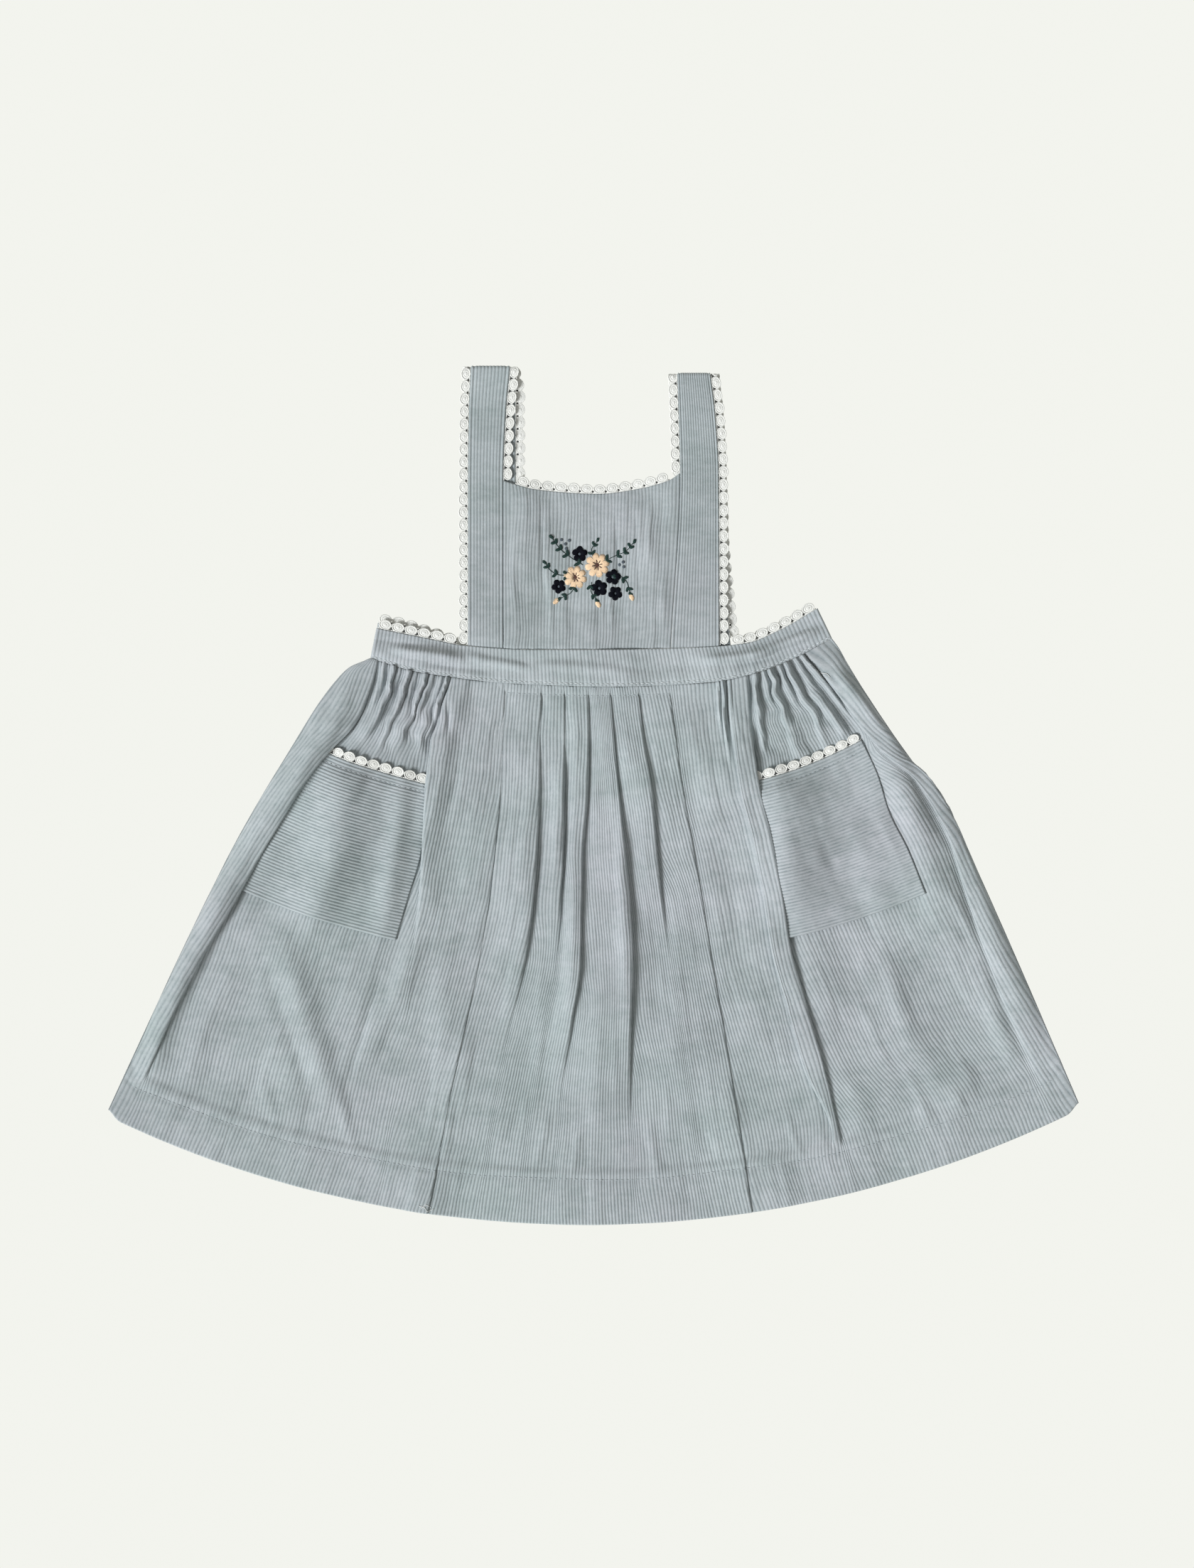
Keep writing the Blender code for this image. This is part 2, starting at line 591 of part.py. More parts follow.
def add_strap_lace(name, side, edge_name, from_y, to_y):
    """Lace on one edge of a strap, from from_y on the front over the shoulder to to_y behind."""
    path = strap_path(side)
    away = math.copysign(1.0, path[0].outer) * (1 if edge_name == "outer" else -1)
    line = [(row.y, row.z, getattr(row, edge_name)) for row in path]
    reach = measured([point[:2] for point in line])
    start, stop = from_y - path[0].y, reach[-1] - (to_y - path[-1].y)
    turn = [reach[STRAP_ROWS - 1 + k] for k in range(5)]
    marks = [(start + d, w) for d, w in scallops(turn[0] - start - LACE_MARGIN, SCALLOP_SHAPE)]
    marks += [(d, LACE_WIDTH) for d in turn]
    after = turn[-1] + LACE_MARGIN
    marks += [(after + d, w) for d, w in scallops(stop - after, SCALLOP_PLAIN)]
    grid = []
    for distance, width in marks:
        y, z, x = at_distance(line, reach, distance)
        row = [(x + away * SEAM, y, z), (x + away * (SEAM + width), y, z)]
        grid.append(row if away > 0 else row[::-1])
    return add_sheet(name, grid, LACE, LACE_WHITE)


def add_strap_and_waist_laces(side):
    strap = STRAPS[side]
    neck_corner = NECKLINE[0] if side == "left" else NECKLINE[-1]
    front_foot, back_foot = foot_y(strap.front[-1], LACE_ROOM), foot_y(strap.back[-1], LACE_ROOM)
    add_strap_lace("lace_strap_inner_" + side, side, "inner", neck_corner.y + SEAM, back_foot)
    add_strap_lace("lace_strap_outer_" + side, side, "outer", front_foot, back_foot + BACK_PEEK)
    end = BAND_TOP[0].x if side == "left" else BAND_TOP[-1].x
    for layer, edges, peek, height, shape in (
            ("", strap.front[-1], 0.0, BAND_AT_TOP, SCALLOP_SHAPE),
            ("back_", strap.back[-1], BACK_PEEK, BAND / 2, SCALLOP_PLAIN)):
        start = edges.outer + math.copysign(LACE_ROOM, end)
        stop = end - math.copysign(BACK_INSET, end)
        low, high = sorted((start, stop))
        xs = [mix(low, high, i / LACE_STEPS) for i in range(LACE_STEPS + 1)]
        edge = [(x, band_top(x, peek), height) for x in xs]
        add_edge_lace("lace_" + layer + "waist_" + side, edge, shape)


# ==== the dress ===================================================================================
def material(name, colour):
    mat = bpy.data.materials.new(name)
    mat.use_nodes = True
    shader = mat.node_tree.nodes["Principled BSDF"]
    shader.inputs["Base Color"].default_value = (*colour, 1.0)
    shader.inputs["Roughness"].default_value = ROUGHNESS
    shader.inputs["Metallic"].default_value = 0.0
    return mat


for old in list(bpy.data.objects):
    bpy.data.objects.remove(old, do_unlink=True)
PARTS = bpy.data.collections.new("pinafore_dress")
bpy.context.scene.collection.children.link(PARTS)

add_front("skirt_front_left", left_line)
add_front("skirt_front_centre", centre_line)
add_front("skirt_front_right", right_line)
add_back()
add_waistbands()
bib_rows = bib_grid()
add_sheet("bib", bib_rows, BIB_CLOTH)
add_edge_lace("lace_neck", bib_rows[-1], trim_start=LACE_ROOM, trim_end=LACE_ROOM)
for strap_side in ("left", "right"):
    add_strap(strap_side)
    add_strap_and_waist_laces(strap_side)
    pocket_rows = pocket_grid(strap_side)
    add_sheet("pocket_" + strap_side, pocket_rows, CLOTH)
    add_edge_lace("lace_pocket_" + strap_side, pocket_rows[0][::-1], trim_start=SEAM, trim_end=SEAM)
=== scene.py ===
"""The looks of a small child's pinafore dress in fine corduroy, laid flat on a surface with its front up.

The frame, the outline and the folds are those of the part's source: +X to the right, +Y to the shoulders,
+Z up from the surface, in millimetres until new_mesh() turns them into metres.  Each piece of cloth is a
thin shell whose outer side carries the wales of the corduroy as real ridges, and on which soft creases are
added.  Lace, stitches and embroidery are threads laid on it.
"""
import math
import random
from collections import namedtuple

import bpy
import numpy as np
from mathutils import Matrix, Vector
from mathutils.bvhtree import BVHTree


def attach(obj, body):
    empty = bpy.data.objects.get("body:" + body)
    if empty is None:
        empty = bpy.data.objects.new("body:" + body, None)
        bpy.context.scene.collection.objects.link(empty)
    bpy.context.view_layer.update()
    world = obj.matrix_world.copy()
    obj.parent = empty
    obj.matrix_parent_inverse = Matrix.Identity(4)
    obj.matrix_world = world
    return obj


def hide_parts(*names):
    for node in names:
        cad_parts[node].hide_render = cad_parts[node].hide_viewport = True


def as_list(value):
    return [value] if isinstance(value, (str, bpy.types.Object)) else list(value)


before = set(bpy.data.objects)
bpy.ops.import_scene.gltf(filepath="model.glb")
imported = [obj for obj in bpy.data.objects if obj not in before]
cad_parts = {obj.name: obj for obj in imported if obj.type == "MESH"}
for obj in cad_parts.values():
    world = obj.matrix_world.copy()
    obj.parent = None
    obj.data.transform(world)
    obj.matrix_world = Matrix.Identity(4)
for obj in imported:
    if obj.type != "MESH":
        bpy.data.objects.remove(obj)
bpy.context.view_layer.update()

MM = 0.001
BODY = "root"


def table(kind, *rows):
    """A table with named columns, from one tuple for each row."""
    return [kind(*row) for row in rows]


# ---- cloth
CLOTH = 1.1  # corduroy, one layer
BAND = 1.8  # waistbands, straps: two layers pressed together
BIB_CLOTH = 1.4
HEM_EXTRA = 0.5  # the turned-up hem is this much thicker
AIR = 0.35  # between two layers that lie on each other
SEAM = 0.08  # between two pieces that are sewn edge to edge
SEAM_ROUND = 0.3  # how far the edges of the bib and the straps are rounded
TURN = 0.75  # radius of a pressed fold
RIM, RIM_LEAST = 0.6, 0.35  # how far cloth is rounded in from an edge, and how thick it is at the edge
SHARP = 65  # degrees between two faces, from which their edge is a sharp one
WALE = 1.95  # from one ridge of the corduroy to the next
BAND_WALE = 2.2  # the same on the waistbands, which are stretched a little
WALE_RISE = 0.20  # from a valley to a crest
STANDING = {"band": 0.7, "strap": 0.6, "bib": 0.5, "pocket": 1.5}  # as shares of it
WALE_STEPS = 4  # columns of points to each wale
WALE_SHAPE = np.array([-1.0, 0.45, 1.0, 0.45]) / 2  # valley, shoulder, crest, shoulder

# ---- outline, seen from above
Across = namedtuple("Across", "x y")
WAIST_SEAM = table(Across, (-131.3, 80.6), (-101.9, 72.2), (-44.3, 65.5), (10.7, 63.8), (69.5, 66.4),
                   (94.7, 71.4), (119.9, 81.1), (140.9, 92.4))
BAND_TOP = table(Across, (-127.9, 98.3), (-92.2, 91.1), (-77.5, 88.2), (-35.5, 85.7), (10.7, 85.7),
                 (69.5, 87.4), (90.5, 89.5), (111.5, 97.9), (132.5, 110))
NECKLINE = table(Across, (-52.8, 185.4), (-33.4, 180.2), (3.6, 177.7), (24.6, 180.2), (43.9, 185.2),
                 (51.2, 189.8))

Side = namedtuple("Side", "down left right")
SKIRT_SIDES = table(Side, (0, -131.3, 140.9), (0.02, -144, 145), (0.05, -152, 149.6), (0.10, -161.9, 157.8),
                    (0.25, -186.7, 184.8), (0.37, -205.8, 209.5), (0.50, -223.6, 226.8),
                    (0.75, -255.5, 257.1), (1, -286.2, 286.6))
SKIRT_LENGTH = 318.0  # from the waist seam to the hem
FAN = 0.0035  # how much wider the skirt gets, as a share of its waist, for each millimetre
HEM_CENTRE_X, HEM_CENTRE_Y, HEM_RADIUS = -4.0, 401.1, 655.0
CORNER_RISE, CORNER_REACH = 4.0, 9.0

# ---- folds of the front skirt
# faces: +1 where the edge looks to the right, -1 to the left; run: x of the edge at each of LEVELS.
# depth: how far the cloth doubles back; opens: where it stops doing so; flat: where the fold has died.
# lean: slope of the wales beside the edge; drift: how much more than the edge itself they lean.
LEVELS = (0.0, 0.1, 0.2, 0.35, 0.5, 0.7, 1.0)
Fold = namedtuple("Fold", "faces run depth opens flat lean drift")
FOLDS = {name: Fold(*row) for name, *row in (
    ("flap_left", 1, (-127.3, -138, -160.3, -186.9, -209.5, -239.7, -276.3), 9, 0.88, 0.905, 0.46, -0.04),
    ("tuck_left", -1, (-83, -93.3, -98.5, -101, -105, -112, -125), 6, 0.38, 0.56, 0.36, -0.13),
    ("seam_left", 1, (-52.3, -53.2, -54.9, -59.3, -66, -79.5, -97.8), 6, 2, 3, 0.27, -0.08),
    ("pleat_1", 1, (-30.8, -31.4, -32.1, -34.1, -39.8, -54, -70), 5.5, 0.45, 0.7, 0.22, -0.05),
    ("pleat_2", 1, (-17, -17.3, -17.4, -18.7, -21.5, -34, -46), 5.5, 0.35, 0.56, 0.15, -0.02),
    ("pleat_3", 1, (-3.3, -2.5, -3.5, -7, -7.5, -17, -26), 5.5, 0.58, 0.82, 0.06, 0),
    ("pleat_4", 1, (9.7, 12.2, 14.9, 20, 23.1, 21.5, 24), 5.5, 0.65, 0.85, 0.03, 0.01),
    ("pleat_5", 1, (26.2, 29.7, 34.5, 38.5, 45, 53, 64), 5.5, 0.35, 0.52, 0.15, 0.04),
    ("seam_right", 1, (44.5, 48.4, 53, 61.5, 69, 79.5, 93.7), 6, 2, 3, 0.22, 0.07),
    ("flap_pocket", 1, (91, 93.5, 97, 108, 115, 131.7, 153), 9, 0.88, 0.905, 0.25, 0.02),
    ("flap_right", -1, (125, 145.5, 164.5, 202, 217.5, 237.5, 273), 5, 0.21, 0.905, 0.46, 0.12),
)}
FLAPS = ("flap_left", "flap_right")
OVER_POCKET = ("flap_left", "tuck_left", "flap_pocket")
CENTRE_PLEATS = tuple(f"pleat_{number}" for number in range(1, 6))
FLAP_SHARE = 0.55  # a side flap doubles back at most this share of its own width
LEAST_DEPTH = 1.6
DEPTH_LOSS = 0.72  # the share of its depth that a fold loses before it opens out
PRESSED = 0.46  # how thick cloth is, as a share, where pleats are stitched down
SEAM_PRESSED = 0.44  # and where a seam was ironed flat
UNPRESSED_AT = 0.24  # level where a stitched-down pleat has its full thickness again
SEWN_HEIGHT = 3.45  # the skirt's middle where it is sewn to the waistband
OPEN_SPREAD = 1.2  # an opened fold gets this much wider, as a share, while it dies
PUFF = 0.5  # the layers of a fold part by this much where it is about to open
FLAP_RISE = 0.75  # height of the open part of the right flap, as a share of a fold's
FLAP_SPREAD = 2.6  # its width, as a share of an open fold's
FLAP_SPREAD_BY, FLAP_SINKS = 0.3, 0.86  # levels where it has that width, and where it starts to die
POCKET_LEVELS = (0.09, 0.13, 0.52, 0.62)  # where the pockets lift the folds over them
ROWS = (0.0, 0.02, 0.05, 0.09, 0.13, 0.17, 0.22, 0.30, 0.40, 0.52, 0.62, 0.75, 0.89, 0.91, 1.0)
HEM_AT = 0.905
OPENS_EARLY = HEM_AT - 0.1  # folds that open before this level get shallower all the way
EDGE_ROLL = 0.6  # the last of the cloth at a side, where wales run out over the edge

# Gathers: shift along the waist as a share of one gather, height as a share of GATHER_HEIGHT, end level.
Gather = namedtuple("Gather", "shift height end")
GATHER_HEIGHT = 4.2
GATHERS_SINK, GATHERS_END = 0.03, 0.17  # levels where they start to die, and where most have
GATHERS_LEFT = table(Gather, (0, 0.80, 0.09), (0.20, 1.20, 0.17), (-0.14, 0.60, 0.07), (0.15, 1.30, 0.20),
                     (-0.20, 0.70, 0.08), (0.18, 1.15, 0.16), (-0.10, 0.80, 0.14), (0.16, 0.60, 0.07),
                     (-0.16, 1.05, 0.15))
GATHERS_INNER_RIGHT = table(Gather, (0.05, 0.80, 0.12), (-0.12, 1.10, 0.18), (0.10, 0.90, 0.14))
GATHERS_OUTER_RIGHT = table(Gather, (0.02, 1.15, 0.18), (0.15, 0.75, 0.10), (-0.12, 1.25, 0.20),
                            (0.10, 0.85, 0.12), (-0.10, 1.15, 0.20), (0.15, 0.70, 0.11), (0.05, 1.05, 0.17))
INNER_GATHERS_FROM = 78.0  # x at the waist seam where the gathers before the right pocket start

# Soft creases: ridges where the height is above 0, troughs where it is below.
Ridge = namedtuple("Ridge", "x0 y0 x1 y1 height width")
SKIRT_CREASES = table(
    Ridge,
    # the flap on the left, and the gathers beside it
    (-146, 50, -196, -22, 3.4, 5), (-194, -18, -248, -120, 3.4, 5.5), (-139, 46, -187, -26, -1.2, 3),
    (-240, -96, -262, -170, 2.6, 6), (-130, 76.5, -145, 66, -1.6, 1.5), (-124, 74, -132, 66, -1.2, 1.2),
    (-134, 80, -152, 50, 1.4, 3.6), (-117.6, 74, -121, 66, -1.2, 1.1), (-113.2, 73, -117.5, 64, -1.3, 1.2),
    (-109, 72, -119, 61.5, -1.5, 1.4), (-105.8, 66, -117.5, 57.5, -2, 1.6), (-119, 62, -136, 34, 3.4, 4.2),
    (-102.2, 70, -102.6, 59, -1.8, 1.4), (-102.4, 62, -108.5, 45, -2.8, 1.8), (-107, 56, -116, 30, 3.2, 4),
    (-97.6, 70.5, -93.6, 61, -1.6, 1.4), (-93.6, 64, -94.4, 38, -2.2, 1.5), (-98, 58, -102, 24, 2.6, 3.2),
    (-89.6, 68.5, -89, 55, 1.2, 1.6), (-85, 68, -85.8, 38, -2.4, 1.6),
    # under the left pocket, and below it
    (-146, 20, -165, -82, 6.6, 19), (-110, 14, -123, -72, 2.6, 6), (-184, -84, -152, -186, 3.4, 8),
    (-100, -84, -140, -166, 2.9, 8), (-196, -96, -168, -174, -0.9, 2.6), (-126, -108, -146, -176, -0.8, 2.4),
    (-196, -70, -178, -190, 1.2, 12), (-225, -120, -236, -170, 1.1, 9),
    # about the pleats
    (-19.5, 22, -22, -42, 1.5, 3.4), (16.5, -6, 20, -128, 2.1, 3.8), (-10.5, -52, -15, -122, 1.3, 3.4),
    (-36, -60, -48, -112, 1, 3.4), (-104, -72, -116, -128, 0.8, 6), (-82, -40, -96, -150, 1, 7),
    (-66, -118, -72, -176, -1, 6), (-30, -100, -34, -196, 1.3, 7), (6, -108, 2, -190, 1.2, 7),
    (44, -66, 55, -160, 1.3, 8), (66, 40, 72, -30, 0.7, 6), (-74, 48, -80, -20, 0.8, 6),
    # the gathers on the right, above the pocket
    (83.2, 67.5, 82.2, 56, -1.2, 1.3), (92.4, 65, 95.6, 22, -1.6, 1.5), (97.6, 66, 100.4, 26, 1.8, 2),
    (102.2, 56, 103, 26, -1.4, 1.7), (103.6, 68, 109.8, 61, -1.6, 1.3), (109.8, 64, 109.4, 55, -1.6, 1.3),
    (106.2, 71, 107.6, 65, -1.2, 1.1), (111.2, 74, 121, 65.6, -1.6, 1.4), (119, 67.5, 129, 55, -1.8, 1.6),
    (110, 56.5, 122, 48, -1.5, 2), (103, 40, 118, 38.5, -1.3, 2.4), (106, 48, 118, 44, 1.2, 2.8),
    (125, 50, 132.6, 22, -2.2, 2.8), (117.5, 44, 122, 22, 1.2, 3.4), (131.6, 53, 145, 36, -1.8, 1.8),
    (127, 64.5, 150, 34, 3, 3.2), (129, 71, 160, 30, -2.6, 2.4), (140, 76, 188, 20, 2.4, 3.6),
    # the right pocket, and the hollow before the flap
    (171, 44, 209, -84, 6.4, 13), (102, 26, 118, -74, 5.4, 22), (184, 24, 207, -26, -1.4, 5),
    (210, -30, 254, -156, -2, 4.5), (201, -16, 219, -66, 1.2, 7.5), (217, -60, 236, -112, 2, 7.5),
    (232, -106, 250, -156, 2.4, 7.5), (226, -160, 212, -184, 2, 6), (120, -76, 148, -150, 1, 9),
    (172, -84, 190, -158, 1.3, 9),
    # puckers above the hem's stitching
    (-196, -168, -187, -194, 1, 3.4), (-150, -174, -143, -205, 1.3, 3.4),
    (-128, -188, -133, -211, -0.9, 2.6), (-84, -186, -88, -216, 0.8, 3), (-44, -186, -52, -219, -0.9, 3),
    (-26, -192, -34, -221, 1.1, 3), (-8, -200, -13, -224, 0.9, 2.4), (16, -200, 11, -225, -0.8, 2.4),
    (32, -196, 38, -223, 0.9, 3.2), (64, -194, 71, -219, -0.8, 3), (112, -184, 123, -213, 1, 3.2),
    (152, -172, 147, -205, -0.8, 3), (186, -164, 198, -193, 1.1, 3.4)
)

# ---- waistbands
BACK_INSET = 0.8  # the back's sides and ends lie this far inside those of the front
Crease = namedtuple("Crease", "x0 up0 x1 up1 depth")
CREASES = table(Crease, (-128, 0.52, -82, 0.35, 0.7), (72, 0.40, 130, 0.62, 0.7))
CREASE_WIDTH = 0.16  # as a share of the band's width
BAND_AT_SEAM, BAND_AT_TOP = 4.1, 3.4  # heights of the front band's middle
BACK_PEEK = 3.4  # how far the back band shows above the front one, at its left end
PEEK_FROM, PEEK_TO = 0.05, 0.20

# ---- pockets
Pocket = namedtuple("Pocket", "top_inner top_outer bottom_inner bottom_outer")
POCKETS = {"left": Pocket(0.202, 0.181, 0.503, 0.485), "right": Pocket(0.199, 0.189, 0.499, 0.492)}
POCKET_HIDDEN, POCKET_TUCKED = 4.5, 4.0  # how far the left and the right pocket go under their folds
EdgeRow = namedtuple("EdgeRow", "down x")
LEFT_POCKET_INNER = table(EdgeRow, (0.18, -97.4), (0.27, -99), (0.335, -101.8), (0.42, -109.4),
                          (0.51, -117.4))
RIGHT_POCKET_OUTER = table(EdgeRow, (0.18, 157), (0.26, 168), (0.32, 174), (0.40, 185.3), (0.50, 196.6))
POCKET_WALES = 50

# ---- straps: edges of the front half, then of the back half, from the shoulder down
Strap = namedtuple("Strap", "shoulder front back")
Edges = namedtuple("Edges", "y outer inner")
STRAPS = {
    "left": Strap(
        252.4,
        table(Edges, (252.4, -72, -48.9), (225, -73.2, -51.5), (185, -73.7, -53.1), (88, -73.7, -53.1)),
        table(Edges, (252.4, -72, -48.9), (238, -69.5, -45.9), (180, -69.3, -45.6), (88, -66.5, -43))),
    "right": Strap(
        248.2,
        table(Edges, (248.2, 69.1, 49.8), (225, 72, 50.6), (190.3, 74.1, 51.5), (88, 74.6, 46)),
        table(Edges, (248.2, 69.1, 49.8), (225, 71.5, 51), (142, 75.5, 54.5), (88, 81.3, 60))),
}
STRAP_ROWS, TURN_STEPS = 44, 12  # rows to each half of a strap, and around its shoulder
SHOULDER_LIFT = 0.7
STRAP_LOW, STRAP_HIGH = BAND / 2 + 0.03, BAND + AIR + BAND / 2
BIB_SAG = 1.9  # how far the bib's middle lies below the straps
SAG_FROM, SAG_TO = 10.0, 30.0  # distances from the straps and the band over which it sinks

# ---- lace
SCALLOP = 7.5
LACE_WIDTH = 5.6
LACE_ROOM = LACE_WIDTH + 1.8  # left free where two laces meet at a corner
LACE_STEPS = 24


# ==== curves
def soft_slopes(x, y):
    """Tangents, along axis 0, of a smooth curve through the points that never overshoots them."""
    slope = np.diff(y, axis=0) / np.diff(x, axis=0)
    before, after = slope[:-1], slope[1:]
    turns = before * after <= 0
    total = np.where(turns, 1.0, before + after)
    inner = np.where(turns, 0.0, 2 * before * after / total)
    return np.concatenate([slope[:1], inner, slope[-1:]])


def curve(x, y):
    """A smooth curve through the points; at one place y may be a whole table."""
    x, y = np.asarray(x, float), np.asarray(y, float)
    slopes = soft_slopes(x.reshape(-1, *[1] * (y.ndim - 1)), y)

    def value(at):
        at = np.clip(at, x[0], x[-1])
        i = np.clip(np.searchsorted(x, at, side="right") - 1, 0, len(x) - 2)
        step = x[i + 1] - x[i]
        t = (at - x[i]) / step
        bend = step * t * (1 - t) * (slopes[i] * (1 - t) - slopes[i + 1] * t)
        return y[i] + (y[i + 1] - y[i]) * t * t * (3 - 2 * t) + bend
    return value


def column(rows, x_name, y_name):
    return curve([getattr(row, x_name) for row in rows], [getattr(row, y_name) for row in rows])


def fade(value, start, end):
    """0 before start, 1 after end, smooth between."""
    t = np.clip((value - start) / (end - start), 0.0, 1.0)
    return t * t * (3 - 2 * t)


def within(value, start, full, fading, end):
    """1 between full and fading, 0 before start and after end, smooth between."""
    return fade(value, start, full) * (1 - fade(value, fading, end))


def mix(a, b, t):
    return a + (b - a) * t


def bell(distance, width):
    return np.exp(-(distance / width) ** 2)


NOISE_CELLS = 64
LEANING = 0.3  # the steepest that the hills of the noise lean, from one seed to another

# Hills of uneven cloth: how high, how wide and how long they are, and how far they may lean.
Hills = namedtuple("Hills", "height across along leaning")
RUMPLE = table(Hills, (1.5, 33, 70, LEANING), (1.2, 15, 44, LEANING), (0.5, 8, 17, LEANING),
               (0.12, 3.4, 6, LEANING), (0.22, 2.7, 38, 0))
WANDER = table(Hills, (0.6, 15, 34, 0), (0.3, 5, 12, 0))
BUNCH = table(Hills, (1.7, 10, 9, LEANING), (0.5, 4.5, 5, LEANING))
STRAP_UNEVEN = table(Hills, (1, 9, 30, LEANING))
POCKET_UNEVEN = table(Hills, (1.2, 24, 30, LEANING))
SEEDS = {"skirt": 3, "wales": 11, "strap": 21, "bib": 31, "bib_wales": 41, "pocket": 51, "band": 61,
         "bunch": 71}
CREASE_ENDS = (-0.15, 0.25, 0.75, 1.15)  # shares of its length where a crease rises and dies
BUNCH_LEFT, BUNCH_RIGHT = (-129, -120, -92, -84), (93, 99, 130, 138)  # x, from the flap to the tuck
BUNCH_DOWN = (0.006, 0.03, 0.13, 0.2)
NARROWER = 1.5  # the skirt's hills are this much narrower than those of RUMPLE
WORN_LIFT = 0.5
RESTING = 0.1  # how gently cloth comes down on what is under it, in square millimetres


def soft_noise(x, y, hills, seed):
    """Smooth noise, up to the hills' height above and below 0."""
    cells = np.random.default_rng(seed).uniform(-1.0, 1.0, (NOISE_CELLS, NOISE_CELLS))
    lean = hills.leaning * math.sin(2.4 * seed)
    u, v = (x + lean * y) / hills.across, (y - 1.5 * lean * x) / hills.along
    i, j = np.floor(u).astype(int), np.floor(v).astype(int)
    s, t = fade(u - i, 0.0, 1.0), fade(v - j, 0.0, 1.0)

    def corner(a, b):
        return cells[(i + a) % NOISE_CELLS, (j + b) % NOISE_CELLS]
    return hills.height * mix(mix(corner(0, 0), corner(1, 0), s), mix(corner(0, 1), corner(1, 1), s), t)


def uneven(x, y, kinds, seed):
    """Noise of several kinds of hills, each with a seed of its own."""
    return sum(soft_noise(x, y, hills, seed + i) for i, hills in enumerate(kinds))


def lying(z, lowest):
    """z, kept from sinking below the lowest that the cloth can lie."""
    above = z - lowest
    return lowest + (above + np.sqrt(above ** 2 + RESTING)) / 2


def bunched(x, y, down):
    """How far the gathers stray sideways, between the flap and the tuck on either side."""
    reach = (within(x, *BUNCH_LEFT) + within(x, *BUNCH_RIGHT)) * within(down, *BUNCH_DOWN)
    return reach * uneven(x, y, BUNCH, SEEDS["bunch"])


side_left = column(SKIRT_SIDES, "down", "left")
side_right = column(SKIRT_SIDES, "down", "right")
waist_y = column(WAIST_SEAM, "x", "y")
band_top_y = column(BAND_TOP, "x", "y")
neckline_y = column(NECKLINE, "x", "y")
fold_edge = {name: curve(LEVELS, fold.run) for name, fold in FOLDS.items()}
left_strap_inner = column(STRAPS["left"].front[::-1], "y", "inner")
right_strap_inner = column(STRAPS["right"].front[::-1], "y", "inner")
left_pocket_inner = column(LEFT_POCKET_INNER, "down", "x")
right_pocket_outer = column(RIGHT_POCKET_OUTER, "down", "x")


def hem_y(x):
    """The hem is an arc about a point far above the dress, with its corners rounded off."""
    arc = HEM_CENTRE_Y - np.sqrt(HEM_RADIUS ** 2 - (x - HEM_CENTRE_X) ** 2)
    from_corner = np.minimum(x - side_left(1.0), side_right(1.0) - x)
    return arc + CORNER_RISE * (1 - fade(from_corner, 0.0, CORNER_REACH)) ** 2


def skirt_y(x, down):
    """y of a point of the skirt, which fans out from the waist seam to the hem."""
    across = (x - side_left(down)) / (side_right(down) - side_left(down))
    at_waist = waist_y(mix(WAIST_SEAM[0].x, WAIST_SEAM[-1].x, across)) - SEAM
    at_hem = hem_y(mix(side_left(1.0), side_right(1.0), across))
    return mix(at_waist, at_hem, down)


def creased(creases, x, y):
    """How much higher the cloth lies at a point because of its soft creases."""
    height = 0.0
    for r in creases:
        length = math.hypot(r.x1 - r.x0, r.y1 - r.y0)
        along = ((x - r.x0) * (r.x1 - r.x0) + (y - r.y0) * (r.y1 - r.y0)) / length ** 2
        aside = ((x - r.x0) * (r.y1 - r.y0) - (y - r.y0) * (r.x1 - r.x0)) / length
        height = height + r.height * within(along, *CREASE_ENDS) * bell(aside, r.width)
    return height


def worn(x, y):
    """How much higher or lower the skirt and its pockets lie than if they had just been ironed."""
    fanned = NARROWER * x / (1 + FAN * (WAIST_SEAM[3].y - y))
    return creased(SKIRT_CREASES, x, y) + uneven(fanned, y, RUMPLE, SEEDS["skirt"]) + WORN_LIFT


# ==== heights and folds, as in the part's source
def cloth_at(down):
    return CLOTH + HEM_EXTRA * fade(down, HEM_AT - 0.01, HEM_AT)


def ground(down):
    """Height of the middle of the front skirt where it lies straight on the back."""
    return cloth_at(down) + AIR + cloth_at(down) / 2


def pocket_lift(down):
    return (CLOTH + AIR) * within(down, *POCKET_LEVELS)


def opens_early(fold):
    return fold.opens < OPENS_EARLY


def fold_depth(name, down):
    """How far the cloth doubles back under the fold's edge; 0 where the fold has opened out."""
    fold = FOLDS[name]
    if down >= fold.opens:
        return 0.0
    depth = fold.depth
    if opens_early(fold):
        depth *= 1 - DEPTH_LOSS * down / fold.opens
    if name in FLAPS:
        side = side_left if fold.faces > 0 else side_right
        depth = min(depth, FLAP_SHARE * abs(fold_edge[name](down) - side(down)))
    return max(depth, LEAST_DEPTH)


BEFORE_FOLD, BEYOND_FOLD = 1.2, 0.8  # from a closed fold to the marks on either side of it
OPEN_PROFILE = ((-2.4, 2), (-0.9, 2), (-0.25, 1.64), (-0.05, 1.16), (0.05, 0.72), (0.2, 0.28), (0.7, 0),
                (1.4, 0))


def closed_profile(depth):
    """(x, height) of a fold that doubles back; height 0 is the ground, 1 the layer between, 2 the top."""
    return ((-depth - BEFORE_FOLD, 2), (-TURN, 2), (0, 1.5), (-TURN, 1), (TURN - depth, 1),
            (-depth, 0.5), (TURN - depth, 0), (BEYOND_FOLD, 0))


# stretch says what the cloth from this mark to the next one is; post names a fold at its edge.
# press is how thick the cloth is there, as a share of what it is lying free.
Mark = namedtuple("Mark", "x z stretch post press", defaults=(1.0,))
SHOWN, OPEN, CLOSED, TAIL = "shown", "open", "closed", "tail"


